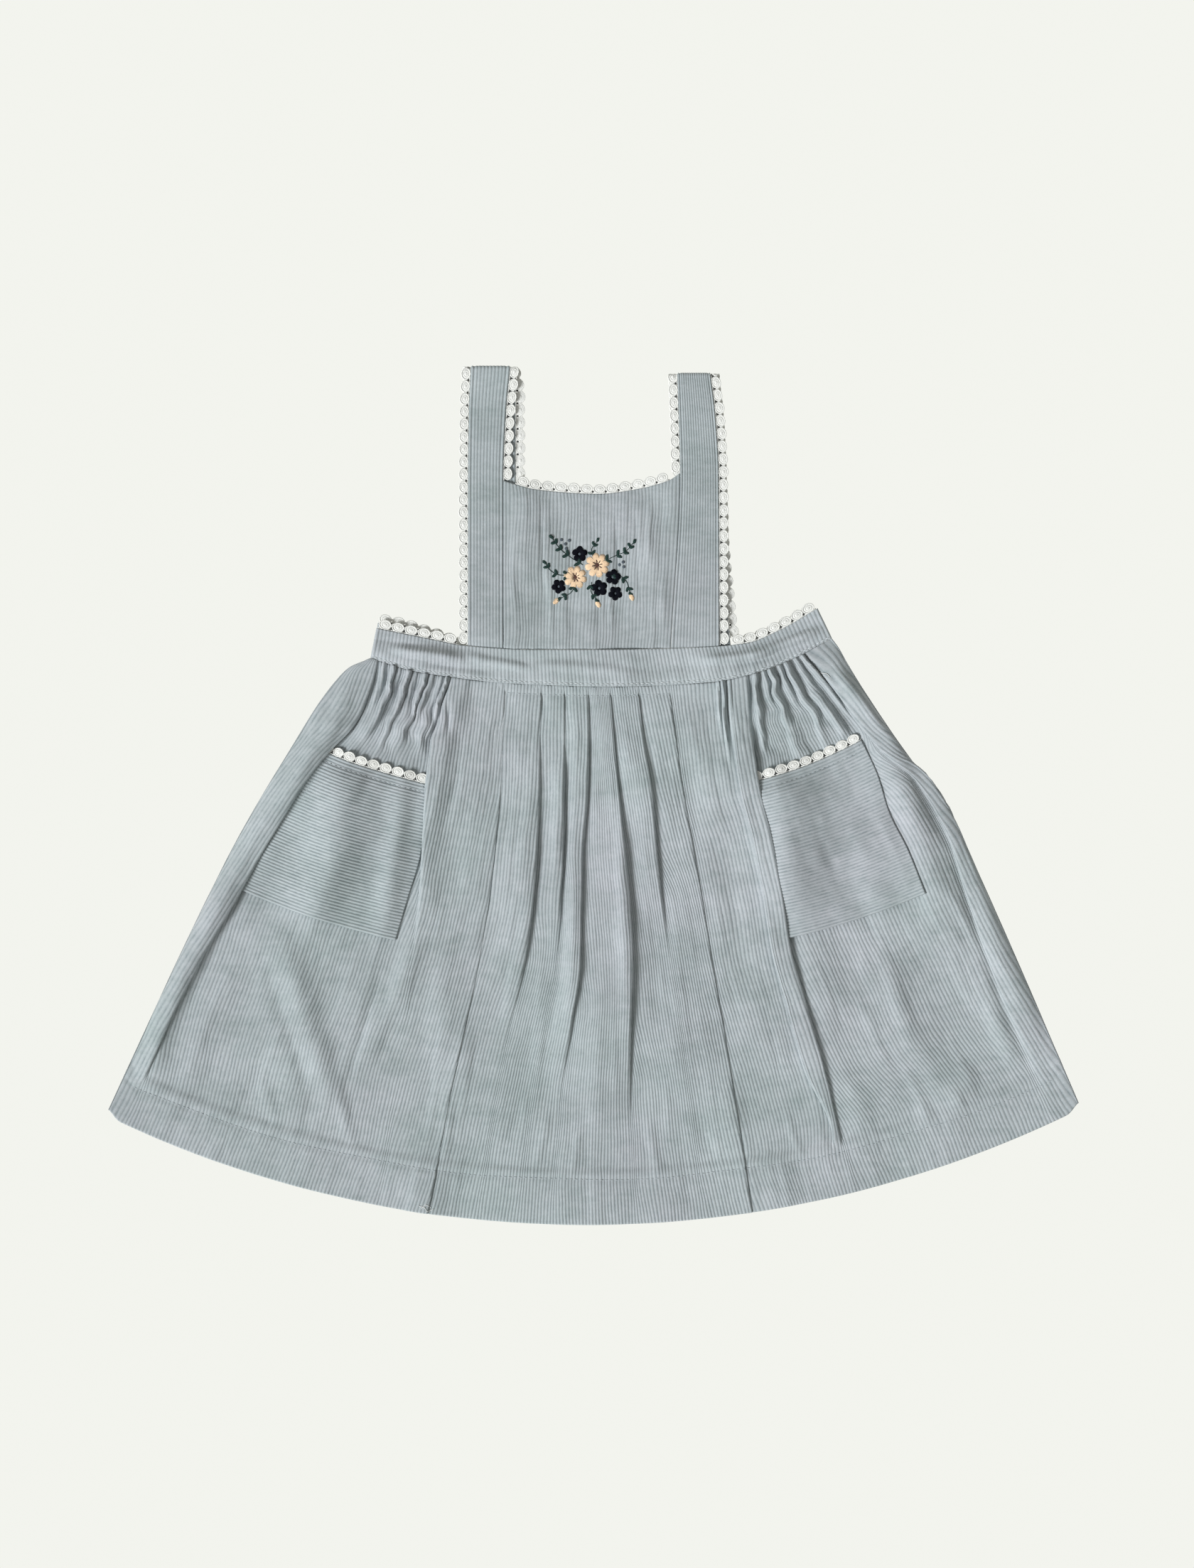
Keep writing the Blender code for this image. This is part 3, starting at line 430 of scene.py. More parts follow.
def pressing(name, down):
    """How thick a fold's cloth is: seams are pressed flat, and pleats only where they are stitched."""
    if name in ("seam_left", "seam_right"):
        return SEAM_PRESSED
    if name in CENTRE_PLEATS:
        return mix(PRESSED, 1.0, fade(down, 0.01, UNPRESSED_AT))
    return 1.0


def fold_marks(name, down):
    """The eight marks of a fold, from its raised side to the ground beside it, left to right."""
    fold = FOLDS[name]
    depth, low, press = fold_depth(name, down), ground(down), pressing(name, down)
    step = (cloth_at(down) + AIR) * press
    lift = pocket_lift(down) if name in OVER_POCKET else 0.0
    if depth:
        if opens_early(fold):
            step += PUFF * (1 - depth / fold.depth)
        rise_at = curve((0.0, 1.0, 2.0), (0.0, step + lift, 2 * step + lift))
        points = [(x, low + rise_at(level)) for x, level in closed_profile(depth)]
    else:
        rise = 1 - fade(down, fold.opens, fold.flat)
        spread = 1 + OPEN_SPREAD * (1 - rise)
        if name == "flap_right":
            rise = FLAP_RISE * (1 - fade(down, FLAP_SINKS, fold.flat))
            spread = mix(1.0, FLAP_SPREAD, fade(down, fold.opens - 0.01, FLAP_SPREAD_BY))
        height = (step + lift / 2) * rise
        points = [(x * spread, low + height * level) for x, level in OPEN_PROFILE]
    stretches = [SHOWN, SHOWN] + [CLOSED if depth else OPEN] * 5
    posts = [None, None, name] + [None] * 5
    if fold.faces < 0:
        points, stretches, posts = points[::-1], stretches[::-1], posts[::-1]
    edge = fold_edge[name](down)
    return [Mark(edge + fold.faces * x, z, stretch, post, press)
            for (x, z), stretch, post in zip(points, stretches + [SHOWN], posts)]


def seam_marks(name, down):
    """The turned-under edge of a side seam, as far as its cloth goes."""
    marks = fold_marks(name, down)[:5]
    return [mark._replace(stretch=TAIL) if i > 1 else mark for i, mark in enumerate(marks)]


def gather_marks(start, end, gathers, down):
    """Marks along a stretch of gathers, low and high in turn, spread out as they die away."""
    marks = []
    for i, gather in enumerate(gathers):
        height = GATHER_HEIGHT * gather.height * (1 - fade(down, GATHERS_SINK, gather.end))
        for place, lift in ((0.25, 0.0), (0.75 + gather.shift, height)):
            x = mix(start, end, (i + place) / len(gathers))
            marks.append(Mark(x, ground(down) + lift, SHOWN, None))
    return marks


def between(a, b, share, fullness):
    return Mark(mix(a.x, b.x, share), mix(a.z, b.z, fullness), SHOWN, None)


# ==== front skirt
def left_line(down):
    side = Mark(side_left(down), ground(down), TAIL, None)
    rolled = Mark(side.x + EDGE_ROLL, side.z + 0.05, SHOWN, None)
    flap = fold_marks("flap_left", down)
    tuck = fold_marks("tuck_left", down)
    seam = seam_marks("seam_left", down)
    line = [side, rolled, between(side, flap[0], share=0.45, fullness=0.7)] + flap
    line += gather_marks(flap[-1].x, tuck[0].x, GATHERS_LEFT, down) + tuck
    between_folds = Mark(mix(tuck[-1].x, seam[0].x, 0.45), ground(down) + 0.25, SHOWN, None)
    return line + [between_folds] + seam


def panel_start(name, down):
    """The hidden edge of a panel under the seam on its left, and where it comes out."""
    edge, press = fold_edge[name](down), pressing(name, down)
    return [Mark(edge - fold_depth(name, down) + TURN, ground(down), TAIL, None, press),
            Mark(edge + BEYOND_FOLD, ground(down) + 0.6 * (CLOTH + AIR) * press, SHOWN, None, press)]


def centre_line(down):
    line = panel_start("seam_left", down)
    for name in CENTRE_PLEATS:
        marks = fold_marks(name, down)
        line += [between(line[-1], marks[0], share=0.5, fullness=0.55)] + marks
    seam = seam_marks("seam_right", down)
    return line + [between(line[-1], seam[0], share=0.5, fullness=0.4)] + seam


def right_line(down):
    line = panel_start("seam_right", down)
    flap = fold_marks("flap_pocket", down)
    share = (INNER_GATHERS_FROM - FOLDS["seam_right"].run[0]) / (
        FOLDS["flap_pocket"].run[0] - FOLDS["seam_right"].run[0])
    gathers_from = mix(line[-1].x, flap[0].x, share)
    line += gather_marks(gathers_from, flap[0].x, GATHERS_INNER_RIGHT, down) + flap
    side_flap = fold_marks("flap_right", down)
    line += gather_marks(flap[-1].x, side_flap[0].x, GATHERS_OUTER_RIGHT, down) + side_flap
    side = Mark(side_right(down), ground(down), SHOWN, None)
    rolled = Mark(side.x - EDGE_ROLL, side.z + 0.05, TAIL, None)
    return line + [between(side_flap[-1], side, share=0.55, fullness=0.3), rolled, side]


# How many wales a stretch may hold, as a share of what it would hold lying flat.
LEAST_OPEN, MOST_OPEN = 0.9, 1.7
LEAST_CLOSED, MOST_CLOSED = 0.35, 2.4
LEAST_TAIL, LEAST_GATHERED = 0.4, 0.3


def pitch_by(post):
    """Distance between wales along a cross-section beside a fold whose wales lean."""
    return WALE * math.hypot(1.0, FOLDS[post].lean)


def wale_numbers(sections, gathered):
    """Which wale lies at every mark: they keep their pitch where they show, and crowd under the folds."""
    places = np.array([[(mark.x, mark.z) for mark in section] for section in sections])
    arcs = np.linalg.norm(np.diff(places, axis=1), axis=2)
    kinds = np.array([[mark.stretch for mark in section[:-1]] for section in sections])
    up = (1 - np.array(ROWS)) * SKIRT_LENGTH
    posts = [(i, mark.post) for i, mark in enumerate(sections[0]) if mark.post]
    wales = np.zeros_like(arcs)

    def total(kind, a, b):
        return (arcs * (kinds == kind))[:, a:b].sum(axis=1)

    def fill(a, b, share, kind):
        wales[:, a:b] += np.where(kinds[:, a:b] == kind, arcs[:, a:b] * share[:, None], 0.0)

    # the wale at each fold's edge, at every level
    base, at_posts = 0.0, [FOLDS[posts[0][1]].drift * up / pitch_by(posts[0][1])]
    for (a, _), (b, name) in zip(posts, posts[1:]):
        base += total(SHOWN, a, b)[-1] / pitch_by(name)
        base += (total(OPEN, a, b) + total(CLOSED, a, b))[-1] / WALE
        at_posts.append(base + FOLDS[name].drift * up / pitch_by(name))
    for k, (a, name) in enumerate(posts[1:-1], 1):
        if FOLDS[name].faces < 0:
            b, following = posts[k + 1]
            at_posts[k] = at_posts[k + 1] - total(SHOWN, a, b) / pitch_by(following)
    # the stretches from one fold to the next
    settled = ROWS.index(GATHERS_END)
    for k, ((a, _), (b, name)) in enumerate(zip(posts, posts[1:])):
        shown, covered = total(SHOWN, a, b), total(OPEN, a, b) + total(CLOSED, a, b)
        needed = at_posts[k + 1] - at_posts[k]
        closed = total(CLOSED, a, b) > 0
        least = np.where(closed, LEAST_CLOSED, LEAST_OPEN) * covered / WALE
        most = np.where(closed, MOST_CLOSED, MOST_OPEN) * covered / WALE
        hidden = np.clip(needed - shown / pitch_by(name), least, most)
        fill(a, b, (needed - hidden) / shown, SHOWN)
        for kind in (OPEN, CLOSED):
            fill(a, b, hidden / np.maximum(covered, 1e-9), kind)
        if gathered and covered[0] > 0:
            plain = kinds[settled, a:b] == SHOWN
            spare = needed[:settled] - wales[settled, a:b][plain].sum()
            hidden = wales[settled, a:b][~plain]
            squeeze = np.maximum(spare / hidden.sum(), LEAST_GATHERED)
            wales[:settled, a:b][:, plain] = wales[settled, a:b][plain]
            wales[:settled, a:b][:, ~plain] = hidden * squeeze[:, None]
    # the stretches before the first fold and after the last one
    ends = ((0, posts[0][0], posts[0][1], at_posts[0], 1),
            (posts[-1][0], len(sections[0]) - 1, posts[-1][1], at_posts[-1], -1))
    for a, b, name, at, sign in ends:
        pitch = pitch_by(name)
        shown, tail = total(SHOWN, a, b), total(TAIL, a, b)
        reach = sign * at - shown / pitch
        limit = (reach - LEAST_TAIL * tail / WALE).min()
        fill(a, b, np.full(len(up), 1 / pitch), SHOWN)
        fill(a, b, (reach - limit) / tail, TAIL)
        if gathered:
            whole = wales[:, a:b].sum(axis=1)
            wales[:settled, a:b] = wales[settled, a:b] * (whole[:settled] / whole[settled])[:, None]
    numbers = np.concatenate([np.zeros((len(up), 1)), np.cumsum(wales, axis=1)], axis=1)
    return numbers * math.ceil(numbers[0, -1]) / numbers[:, -1:]


def spread_rows(*stretches):
    """Levels from stretches of (start, end, count), with each end counted once."""
    rows = [np.linspace(start, end, count, endpoint=False) for start, end, count in stretches]
    return np.append(np.concatenate(rows), stretches[-1][1])


DOWNS = spread_rows((0.0, 0.004, 2), (0.004, 0.03, 8), (0.03, 0.22, 32), (0.22, 0.888, 46),
                    (0.888, 0.936, 11), (0.936, 0.994, 5), (0.994, 1.0, 4))
WORN_FROM = (0.02, 0.1)  # levels over which the soft creases set in
SEWN_TO = (0.002, 0.03)  # and over which the cloth comes down from the waist seam
WANDERING = (0.0, 0.05, 0.96, 1.0)  # levels between which wales stray sideways


def front_surface(line_at, gathered):
    """The middle of a front panel, how thick it is, and the number of the wale in each column."""
    sections = [line_at(down) for down in ROWS]
    numbers = wale_numbers(sections, gathered)
    marks = np.array([[(mark.x, mark.z, mark.press) for mark in section] for section in sections])
    section_at = curve(ROWS, np.dstack([marks, numbers]))
    columns = np.arange(int(numbers[0, -1] * WALE_STEPS) + 1) / WALE_STEPS
    rows, presses = [], []
    for down in DOWNS:
        x, z, press, number = section_at(down).T
        line_x, line_z = curve(number, x)(columns), curve(number, z)(columns)
        y = skirt_y(line_x, down)
        line_z = lying(line_z + worn(line_x, y) * fade(down, *WORN_FROM), ground(down))
        sewn = np.maximum(line_z, SEWN_HEIGHT)
        line_z = mix(line_z, sewn, 1 - fade(down, *SEWN_TO))
        strays = within(down, *WANDERING) * uneven(line_x, y, WANDER, SEEDS["wales"])
        line_x = line_x + strays * np.gradient(line_x) / (WALE / WALE_STEPS)
        line_x = line_x + bunched(line_x, y, down)
        rows.append(np.stack([line_x, y, line_z], axis=1))
        presses.append(np.interp(columns, number, press))
    return np.array(rows), np.array(presses), columns


HEM_STITCH = 0.916  # level of the hem's stitching at its middle
PLEAT_STITCH = 5.4  # the pleats are stitched down this far below the waist seam
HEM_DIP, PLEAT_DIP = 1.3, 1.2  # how wide the dips along the stitching are


def hem_stitch_down(x):
    """The level of the hem's stitching, a little uneven by hand."""
    return HEM_STITCH + 0.010 * (x / 280.0) ** 2 + 0.0015 * np.sin(x / 17.0)


def stitch_dips(mid, downs, with_pleats):
    """1 on a line of stitching, fading to 0 beside it."""
    levels = np.asarray(downs)[:, None]
    dip = bell((levels - hem_stitch_down(mid[..., 0])) * SKIRT_LENGTH, HEM_DIP)
    if with_pleats:
        dip = np.maximum(dip, bell(levels * SKIRT_LENGTH - PLEAT_STITCH, PLEAT_DIP))
    return dip


# ==== shells of cloth
def new_mesh(name, points, faces, material):
    mesh = bpy.data.meshes.new(name)
    mesh.from_pydata((np.asarray(points) * MM).tolist(), [], faces)
    mesh.shade_smooth()
    mesh.materials.append(material)
    obj = bpy.data.objects.new(name, mesh)
    bpy.context.scene.collection.objects.link(obj)
    return obj


def settle(piece, slot, *nodes):
    """Ties a piece to the part: what it rides on, and what it stands for. Its finish, slot, is not used."""
    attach(piece, BODY)
    if nodes:
        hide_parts(*nodes)
    return piece


def reached(line):
    """Distance along a line of points, from its start."""
    return np.concatenate([[0.0], np.cumsum(np.linalg.norm(np.diff(line, axis=0), axis=1))])


def travelled(points, axis):
    """Distance along the grid's lines, from their start."""
    steps = np.linalg.norm(np.diff(points, axis=axis), axis=2)
    start = np.zeros_like(np.take(steps, [0], axis=axis))
    return np.concatenate([start, np.cumsum(steps, axis=axis)], axis=axis)


def rim_share(points, rim):
    """How thick cloth is near its edges, which are rounded over a distance rim."""
    share = 1.0
    for axis in (0, 1):
        gone = travelled(points, axis)
        left = np.take(gone, [-1], axis=axis) - gone
        near = np.clip(np.minimum(gone, left) / rim, 0.0, 1.0)
        share = np.minimum(share, mix(RIM_LEAST, 1.0, np.sqrt(1 - (1 - near) ** 2)))
    return share


def outward(points):
    """Normals of a grid, out of the side from which its rows and then its columns turn clockwise."""
    normal = np.cross(np.gradient(points, axis=0), np.gradient(points, axis=1))
    return normal / np.maximum(np.linalg.norm(normal, axis=2, keepdims=True), 1e-9)


def grid_faces(index, flip=False):
    a, b, c, d = index[:-1, :-1], index[1:, :-1], index[1:, 1:], index[:-1, 1:]
    order = (a, d, c, b) if flip else (a, b, c, d)
    return np.stack(order, axis=2).reshape(-1, 4).tolist()


def rim_faces(outer, inner, marks, flip):
    """Faces between the fine edge of the outer side and the coarse edge of the inner side."""
    faces = []
    for k in range(len(marks) - 1):
        fine = list(outer[marks[k]:marks[k + 1] + 1])
        face = fine + [inner[k + 1], inner[k]]
        faces.append(face[::-1] if flip else face)
    return faces


def add_cloth(node, mid, thickness, relief, numbers, material, coarse=(2, WALE_STEPS), inner_relief=0.0,
              rim=RIM):
    """A closed shell about a grid of points, for a node: wales on its outer side, and an inner side.

    numbers gives each point its wale, for the material; coarse thins out the inner side's grid.
    """
    rows, cols = mid.shape[:2]
    normal, share = outward(mid), rim_share(mid, rim)
    half = np.broadcast_to(thickness, (rows, cols)) / 2 * share
    outer = mid + normal * (half + relief * share)[..., None]
    inner = mid - normal * (half + inner_relief * share)[..., None]
    row_marks = sorted(set(range(0, rows, coarse[0])) | {rows - 1})
    col_marks = sorted(set(range(0, cols, coarse[1])) | {cols - 1})
    inner = inner[np.ix_(row_marks, col_marks)]
    outer_index = np.arange(rows * cols).reshape(rows, cols)
    inner_index = rows * cols + np.arange(inner.shape[0] * inner.shape[1]).reshape(inner.shape[:2])
    faces = grid_faces(outer_index) + grid_faces(inner_index, flip=True)
    faces += rim_faces(outer_index[0], inner_index[0], col_marks, False)
    faces += rim_faces(outer_index[-1], inner_index[-1], col_marks, True)
    faces += rim_faces(outer_index[:, 0], inner_index[:, 0], row_marks, True)
    faces += rim_faces(outer_index[:, -1], inner_index[:, -1], row_marks, False)
    points = np.concatenate([outer.reshape(-1, 3), inner.reshape(-1, 3)])
    piece = new_mesh(node + "_cloth", points, faces, material)
    piece.data.set_sharp_from_angle(angle=math.radians(SHARP))
    across = np.broadcast_to(numbers, (rows, cols))
    along = travelled(mid, 1 if across[0, 0] == across[0, -1] else 0) / WALE
    places = np.stack([across, along], axis=2)
    places = np.concatenate([places.reshape(-1, 2), places[np.ix_(row_marks, col_marks)].reshape(-1, 2)])
    corners = np.zeros(len(piece.data.loops), dtype=np.int32)
    piece.data.loops.foreach_get("vertex_index", corners)
    layer = piece.data.uv_layers.new(name="wales")
    layer.data.foreach_set("uv", places[corners].astype(np.float32).ravel())
    return settle(piece, "corduroy", node)


def ridges(numbers):
    """Height of the wales' relief at each number, which runs in steps of 1 / WALE_STEPS."""
    steps = np.rint(np.asarray(numbers) * WALE_STEPS).astype(int)
    return WALE_RISE * WALE_SHAPE[steps % WALE_STEPS]


def crowded(mid):
    """1 where wales lie at their own pitch, less where they are pressed together."""
    gaps = np.linalg.norm(np.gradient(mid, axis=1), axis=2) * WALE_STEPS / WALE
    return np.clip(gaps, 0.0, 1.0)


def stitched(relief, dip, depth):
    """The relief of the wales where stitching, as deep as depth, presses them down."""
    return relief * (1 - 0.6 * dip) - depth * dip


def add_front(node, line_at, gathered, material, fullness):
    """A front panel; fullness is how far its wales stand up, as a share of WALE_RISE."""
    mid, press, columns = front_surface(line_at, gathered)
    dip = stitch_dips(mid, DOWNS, not gathered)
    relief = stitched(fullness * ridges(columns) * crowded(mid), dip, 0.42)
    thickness = cloth_at(DOWNS)[:, None] * press
    return add_cloth(node, mid, thickness, relief, columns, material)


BACK_LEVELS = spread_rows((0.0, 0.02, 3), (0.02, 0.13, 6), (0.13, 0.9, 14), (0.9, 1.0, 4))


def add_back(material):
    """The back skirt, its outer side down: crests lie on the surface."""
    columns = np.arange(int((side_right(1.0) - side_left(1.0)) / WALE) * WALE_STEPS + 1)
    rows = []
    for down in BACK_LEVELS:
        left, right = side_left(down) + BACK_INSET, side_right(down) - BACK_INSET
        x = mix(right, left, columns / columns[-1])
        y = skirt_y(x, down) + BACK_INSET * down
        rows.append(np.stack([x, y, np.full_like(x, CLOTH / 2)], axis=1))
    mid = np.array(rows)
    relief = (ridges(columns / WALE_STEPS) - WALE_RISE / 2) * crowded(mid)
    return add_cloth("skirt_back", mid, CLOTH, relief, columns / WALE_STEPS, material)


# ==== waistbands
BAND_CREASES = table(Ridge, (-128, 92, -90, 86.5, -1.2, 2.4), (-118, 85.5, -78, 80.2, 3.8, 2.3),
                     (-100, 77, -60, 73, -1.3, 2.4), (-74, 81, -38, 74.6, 1.8, 2.2),
                     (-44, 79, -4, 81, -0.8, 3), (-30, 76.5, 20, 73, 1, 2.6), (16, 74, 62, 76.5, -0.9, 3),
                     (66, 79, 104, 83.5, 2.6, 2.1), (94, 82, 132, 96.5, 3.6, 2.3),
                     (90, 87.5, 128, 104, -1.3, 2.2), (86, 75.5, 134, 91, -1.4, 2.4))
BAND_FULL = 0.9  # how much the ends of the band stand up, to be creased
BAND_FULL_UP, BAND_FULL_FROM = (0.0, 0.3, 0.85, 1.0), (55.0, 90.0)  # shares up it, and across from x = 0
BAND_STITCH_UP = 0.07  # the waist seam is stitched this share up the band
BAND_UPS = spread_rows((1.0, 0.97, 2), (0.97, 0.16, 22), (0.16, 0.04, 8), (0.04, 0.0, 2))


def band_height(x, up):
    """Height of the front waistband's middle, creased along towards both ends."""
    height = mix(BAND_AT_SEAM, BAND_AT_TOP, fade(up, 0.0, 1.0))
    for crease in CREASES:
        share = (x - crease.x0) / (crease.x1 - crease.x0)
        off = (up - mix(crease.up0, crease.up1, share)) / CREASE_WIDTH
        height = height - crease.depth * within(share, -0.1, 0.2, 0.8, 1.1) * bell(off, 1.0)
    return height


def band_top(x, peek):
    share = (x - BAND_TOP[0].x) / (BAND_TOP[-1].x - BAND_TOP[0].x)
    return band_top_y(x) + peek * (1 - fade(share, PEEK_FROM, PEEK_TO))


def band_surface(peek, inset, shares):
    """x and y over a waistband, from its top edge down."""
    low_x = mix(WAIST_SEAM[0].x + inset, WAIST_SEAM[-1].x - inset, shares)
    top_x = mix(BAND_TOP[0].x + inset, BAND_TOP[-1].x - inset, shares)
    up = BAND_UPS[:, None]
    return mix(low_x, top_x, up), mix(waist_y(low_x), band_top(top_x, peek), up), up


def add_waistbands(material):
    wales = int((WAIST_SEAM[-1].x - WAIST_SEAM[0].x) / BAND_WALE)
    numbers = np.arange(wales * WALE_STEPS + 1) / WALE_STEPS
    x, y, up = band_surface(0.0, 0.0, numbers / wales)
    full = BAND_FULL * within(up, *BAND_FULL_UP) * fade(np.abs(x), *BAND_FULL_FROM)
    free = 1 - fade(up, 0.7, 0.98)
    z = band_height(x, up) + creased(BAND_CREASES, x, y)
    z = lying(z + free * (0.7 * uneven(x, y, RUMPLE, SEEDS["band"]) + full), BAND + AIR + BAND / 2)
    dip = bell((up - BAND_STITCH_UP) * 20, 0.9)
    relief = stitched(STANDING["band"] * ridges(numbers), dip, 0.3)
    front = add_cloth("waistband_front", np.stack([x, y, z], axis=2), BAND, relief, numbers, material)
    x, y, up = band_surface(BACK_PEEK, BACK_INSET, 1 - numbers / wales)
    mid = np.stack([x, y, np.full_like(x, BAND / 2)], axis=2)
    relief = np.broadcast_to(ridges(numbers) - WALE_RISE / 2, x.shape)
    return front, add_cloth("waistband_back", mid, BAND, relief, numbers, material)


# ==== straps and bib
StrapRow = namedtuple("StrapRow", "y outer inner z")


def foot_y(edges, reach=0.0):
    """Where a strap, or its lace that stands out by reach, meets the waistband's top edge."""
    away = math.copysign(reach, edges.outer)
    return max(band_top_y(x) for x in (edges.inner, edges.outer, edges.outer + away)) + SEAM


def strap_path(side):
    """Rows from the front waistband over the shoulder to the back waistband."""
    strap = STRAPS[side]
    front = [column(strap.front[::-1], "y", name) for name in ("outer", "inner")]
    back = [column(strap.back[::-1], "y", name) for name in ("outer", "inner")]
    radius = (STRAP_HIGH + SHOULDER_LIFT - STRAP_LOW) / 2
    crown = strap.shoulder - radius
    path = []
    for y in np.linspace(foot_y(strap.front[-1]), crown, STRAP_ROWS):
        lift = SHOULDER_LIFT * fade(y, crown - 14, crown)
        path.append(StrapRow(y, front[0](y), front[1](y), STRAP_HIGH + lift))
    for k in range(1, TURN_STEPS):
        turn = math.pi * k / TURN_STEPS
        path.append(StrapRow(crown + radius * math.sin(turn), front[0](crown), front[1](crown),
                             STRAP_LOW + radius * (1 + math.cos(turn))))
    for y in np.linspace(crown, foot_y(strap.back[-1]), STRAP_ROWS):
        path.append(StrapRow(y, back[0](y), back[1](y), STRAP_LOW))
    return path


def half_of(path, end):
    """1 for the rows of the strap's front half, or with end -1 of its back half, and 0 for the rest."""
    first = np.arange(len(path)) < len(path) / 2
    return np.where(first == (end == 0), 1.0, 0.0)


STRAP_STITCH = 1.9  # the straps are stitched along this far inside their edges
STRAP_FULL = 0.35  # how much the front of a strap stands up
STRAP_FOOT = 8.0  # it does so fully this far up from the waistband, and less above


def add_strap(side, material):
    path = strap_path(side)
    wales = round(abs(path[0].outer - path[0].inner) / WALE)
    numbers = np.arange(wales * WALE_STEPS + 1) / WALE_STEPS
    rows = []
    for row in path:
        left, right = sorted((row.outer, row.inner))
        x = mix(right, left, numbers / wales)
        rows.append(np.stack([x, np.full_like(x, row.y), np.full_like(x, row.z)], axis=1))
    mid = np.array(rows)
    for end, peek in ((0, 0.0), (-1, BACK_PEEK)):
        drop = path[end].y - band_top(mid[end, :, 0], peek) - SEAM
        mid[..., 1] -= drop * half_of(path, end)[:, None] * (1 - fade(mid[..., 1] - path[end].y, 0.0, 30.0))
    front = np.arange(len(path))[:, None] < STRAP_ROWS
    lift = STRAP_FULL * (1 + uneven(mid[..., 0], mid[..., 1], STRAP_UNEVEN, SEEDS["strap"]))
    up = mid[..., 1] - path[0].y
    near_foot = np.where(up < 0, 0.0, STRAP_FOOT / np.maximum(up, STRAP_FOOT))
    mid[..., 2] += np.where(front, lift, 0.0) * fade(near_foot, 0.0, 1.0)
    from_side = np.minimum(numbers, wales - numbers) * WALE
    dip = bell(from_side - STRAP_STITCH, 0.7)
    relief = np.broadcast_to(STANDING["strap"] * ridges(numbers) - 0.3 * dip, mid.shape[:2])
    return add_cloth("strap_" + side, mid, BAND - 0.1, relief, numbers, material, coarse=(1, 1),
                     inner_relief=relief, rim=SEAM_ROUND)


BIB_WALES = 52
BIB_STRAYS = 1.4  # its wales stray this much more than those of the skirt
BIB_UPS = spread_rows((1.0, 0.985, 3), (0.985, 0.02, 26), (0.02, 0.0, 2))
BIB_CREASES = table(Ridge, (-40, 172, -34, 96, 0.5, 6), (-14, 118, -6, 90, -0.45, 5),
                    (20, 168, 26, 100, 0.5, 7), (-28, 176, -10, 160, -0.4, 5), (38, 150, 36, 100, -0.4, 5),
                    (-31, 168, -28.5, 118, -0.5, 1.5), (-26.5, 132, -24, 98, 0.5, 1.5),
                    (13, 160, 14.5, 128, -0.5, 1.4), (19.5, 174, 18, 136, 0.5, 1.5),
                    (24.5, 166, 28, 118, -0.6, 1.6), (33, 172, 33.5, 138, 0.5, 1.5),
                    (8, 126, 12, 100, 0.5, 1.6), (-46, 150, -46.5, 108, 0.4, 1.6),
                    (42, 132, 42.5, 96, 0.4, 1.6))


def bib_height(x, y):
    from_strap = np.minimum(x - left_strap_inner(y), right_strap_inner(y) - x)
    from_band = y - band_top_y(x)
    return STRAP_HIGH - BIB_SAG * fade(from_strap, SAG_FROM, SAG_TO) * fade(from_band, 0.0, SAG_TO)


def bib_surface():
    """Rows from the neckline down, each from left to right."""
    across = np.arange(BIB_WALES * WALE_STEPS + 1) / (BIB_WALES * WALE_STEPS)
    low_x = mix(STRAPS["left"].front[-1].inner, STRAPS["right"].front[-1].inner, across)
    top_x = mix(NECKLINE[0].x, NECKLINE[-1].x, across)
    y = mix(band_top_y(low_x) + SEAM, neckline_y(top_x), BIB_UPS[:, None])
    x = mix(left_strap_inner(y) + SEAM, right_strap_inner(y) - SEAM, across)
    free = fade(np.minimum(across, 1 - across), 0.0, 0.06) * (1 - fade(BIB_UPS, 0.93, 1.0)[:, None])
    z = bib_height(x, y) + creased(BIB_CREASES, x, y) + free * uneven(x, y, RUMPLE, SEEDS["bib"])
    x = x + BIB_STRAYS * free * uneven(x, y, WANDER, SEEDS["bib_wales"])
    return np.stack([x, y, lying(z, BIB_CLOTH / 2 + 0.05)], axis=2)


def add_bib(material):
    mid = bib_surface()
    numbers = np.arange(mid.shape[1]) / WALE_STEPS
    relief = STANDING["bib"] * ridges(numbers) * crowded(mid)
    return add_cloth("bib", mid, BIB_CLOTH, relief, numbers, material, rim=SEAM_ROUND)


# ==== pockets
POCKET_FULL = 0.4  # how much a pocket stands up from the skirt under it
POCKET_STITCH = 5.2  # the pocket's own hem is stitched this far below its top edge
POCKET_CREASES = table(Ridge, (-146, 20, -160, -62, 3, 15), (172, 30, 196, -64, 2.4, 13),
                       (104, 14, 114, -64, 2.6, 20), (-112, -4, -124, -66, 0.8, 4))


def pocket_span(side, down):
    if side == "left":
        return left_pocket_inner(down), fold_edge["flap_left"](down) - POCKET_HIDDEN
    return fold_edge["flap_pocket"](down) - POCKET_TUCKED, right_pocket_outer(down)


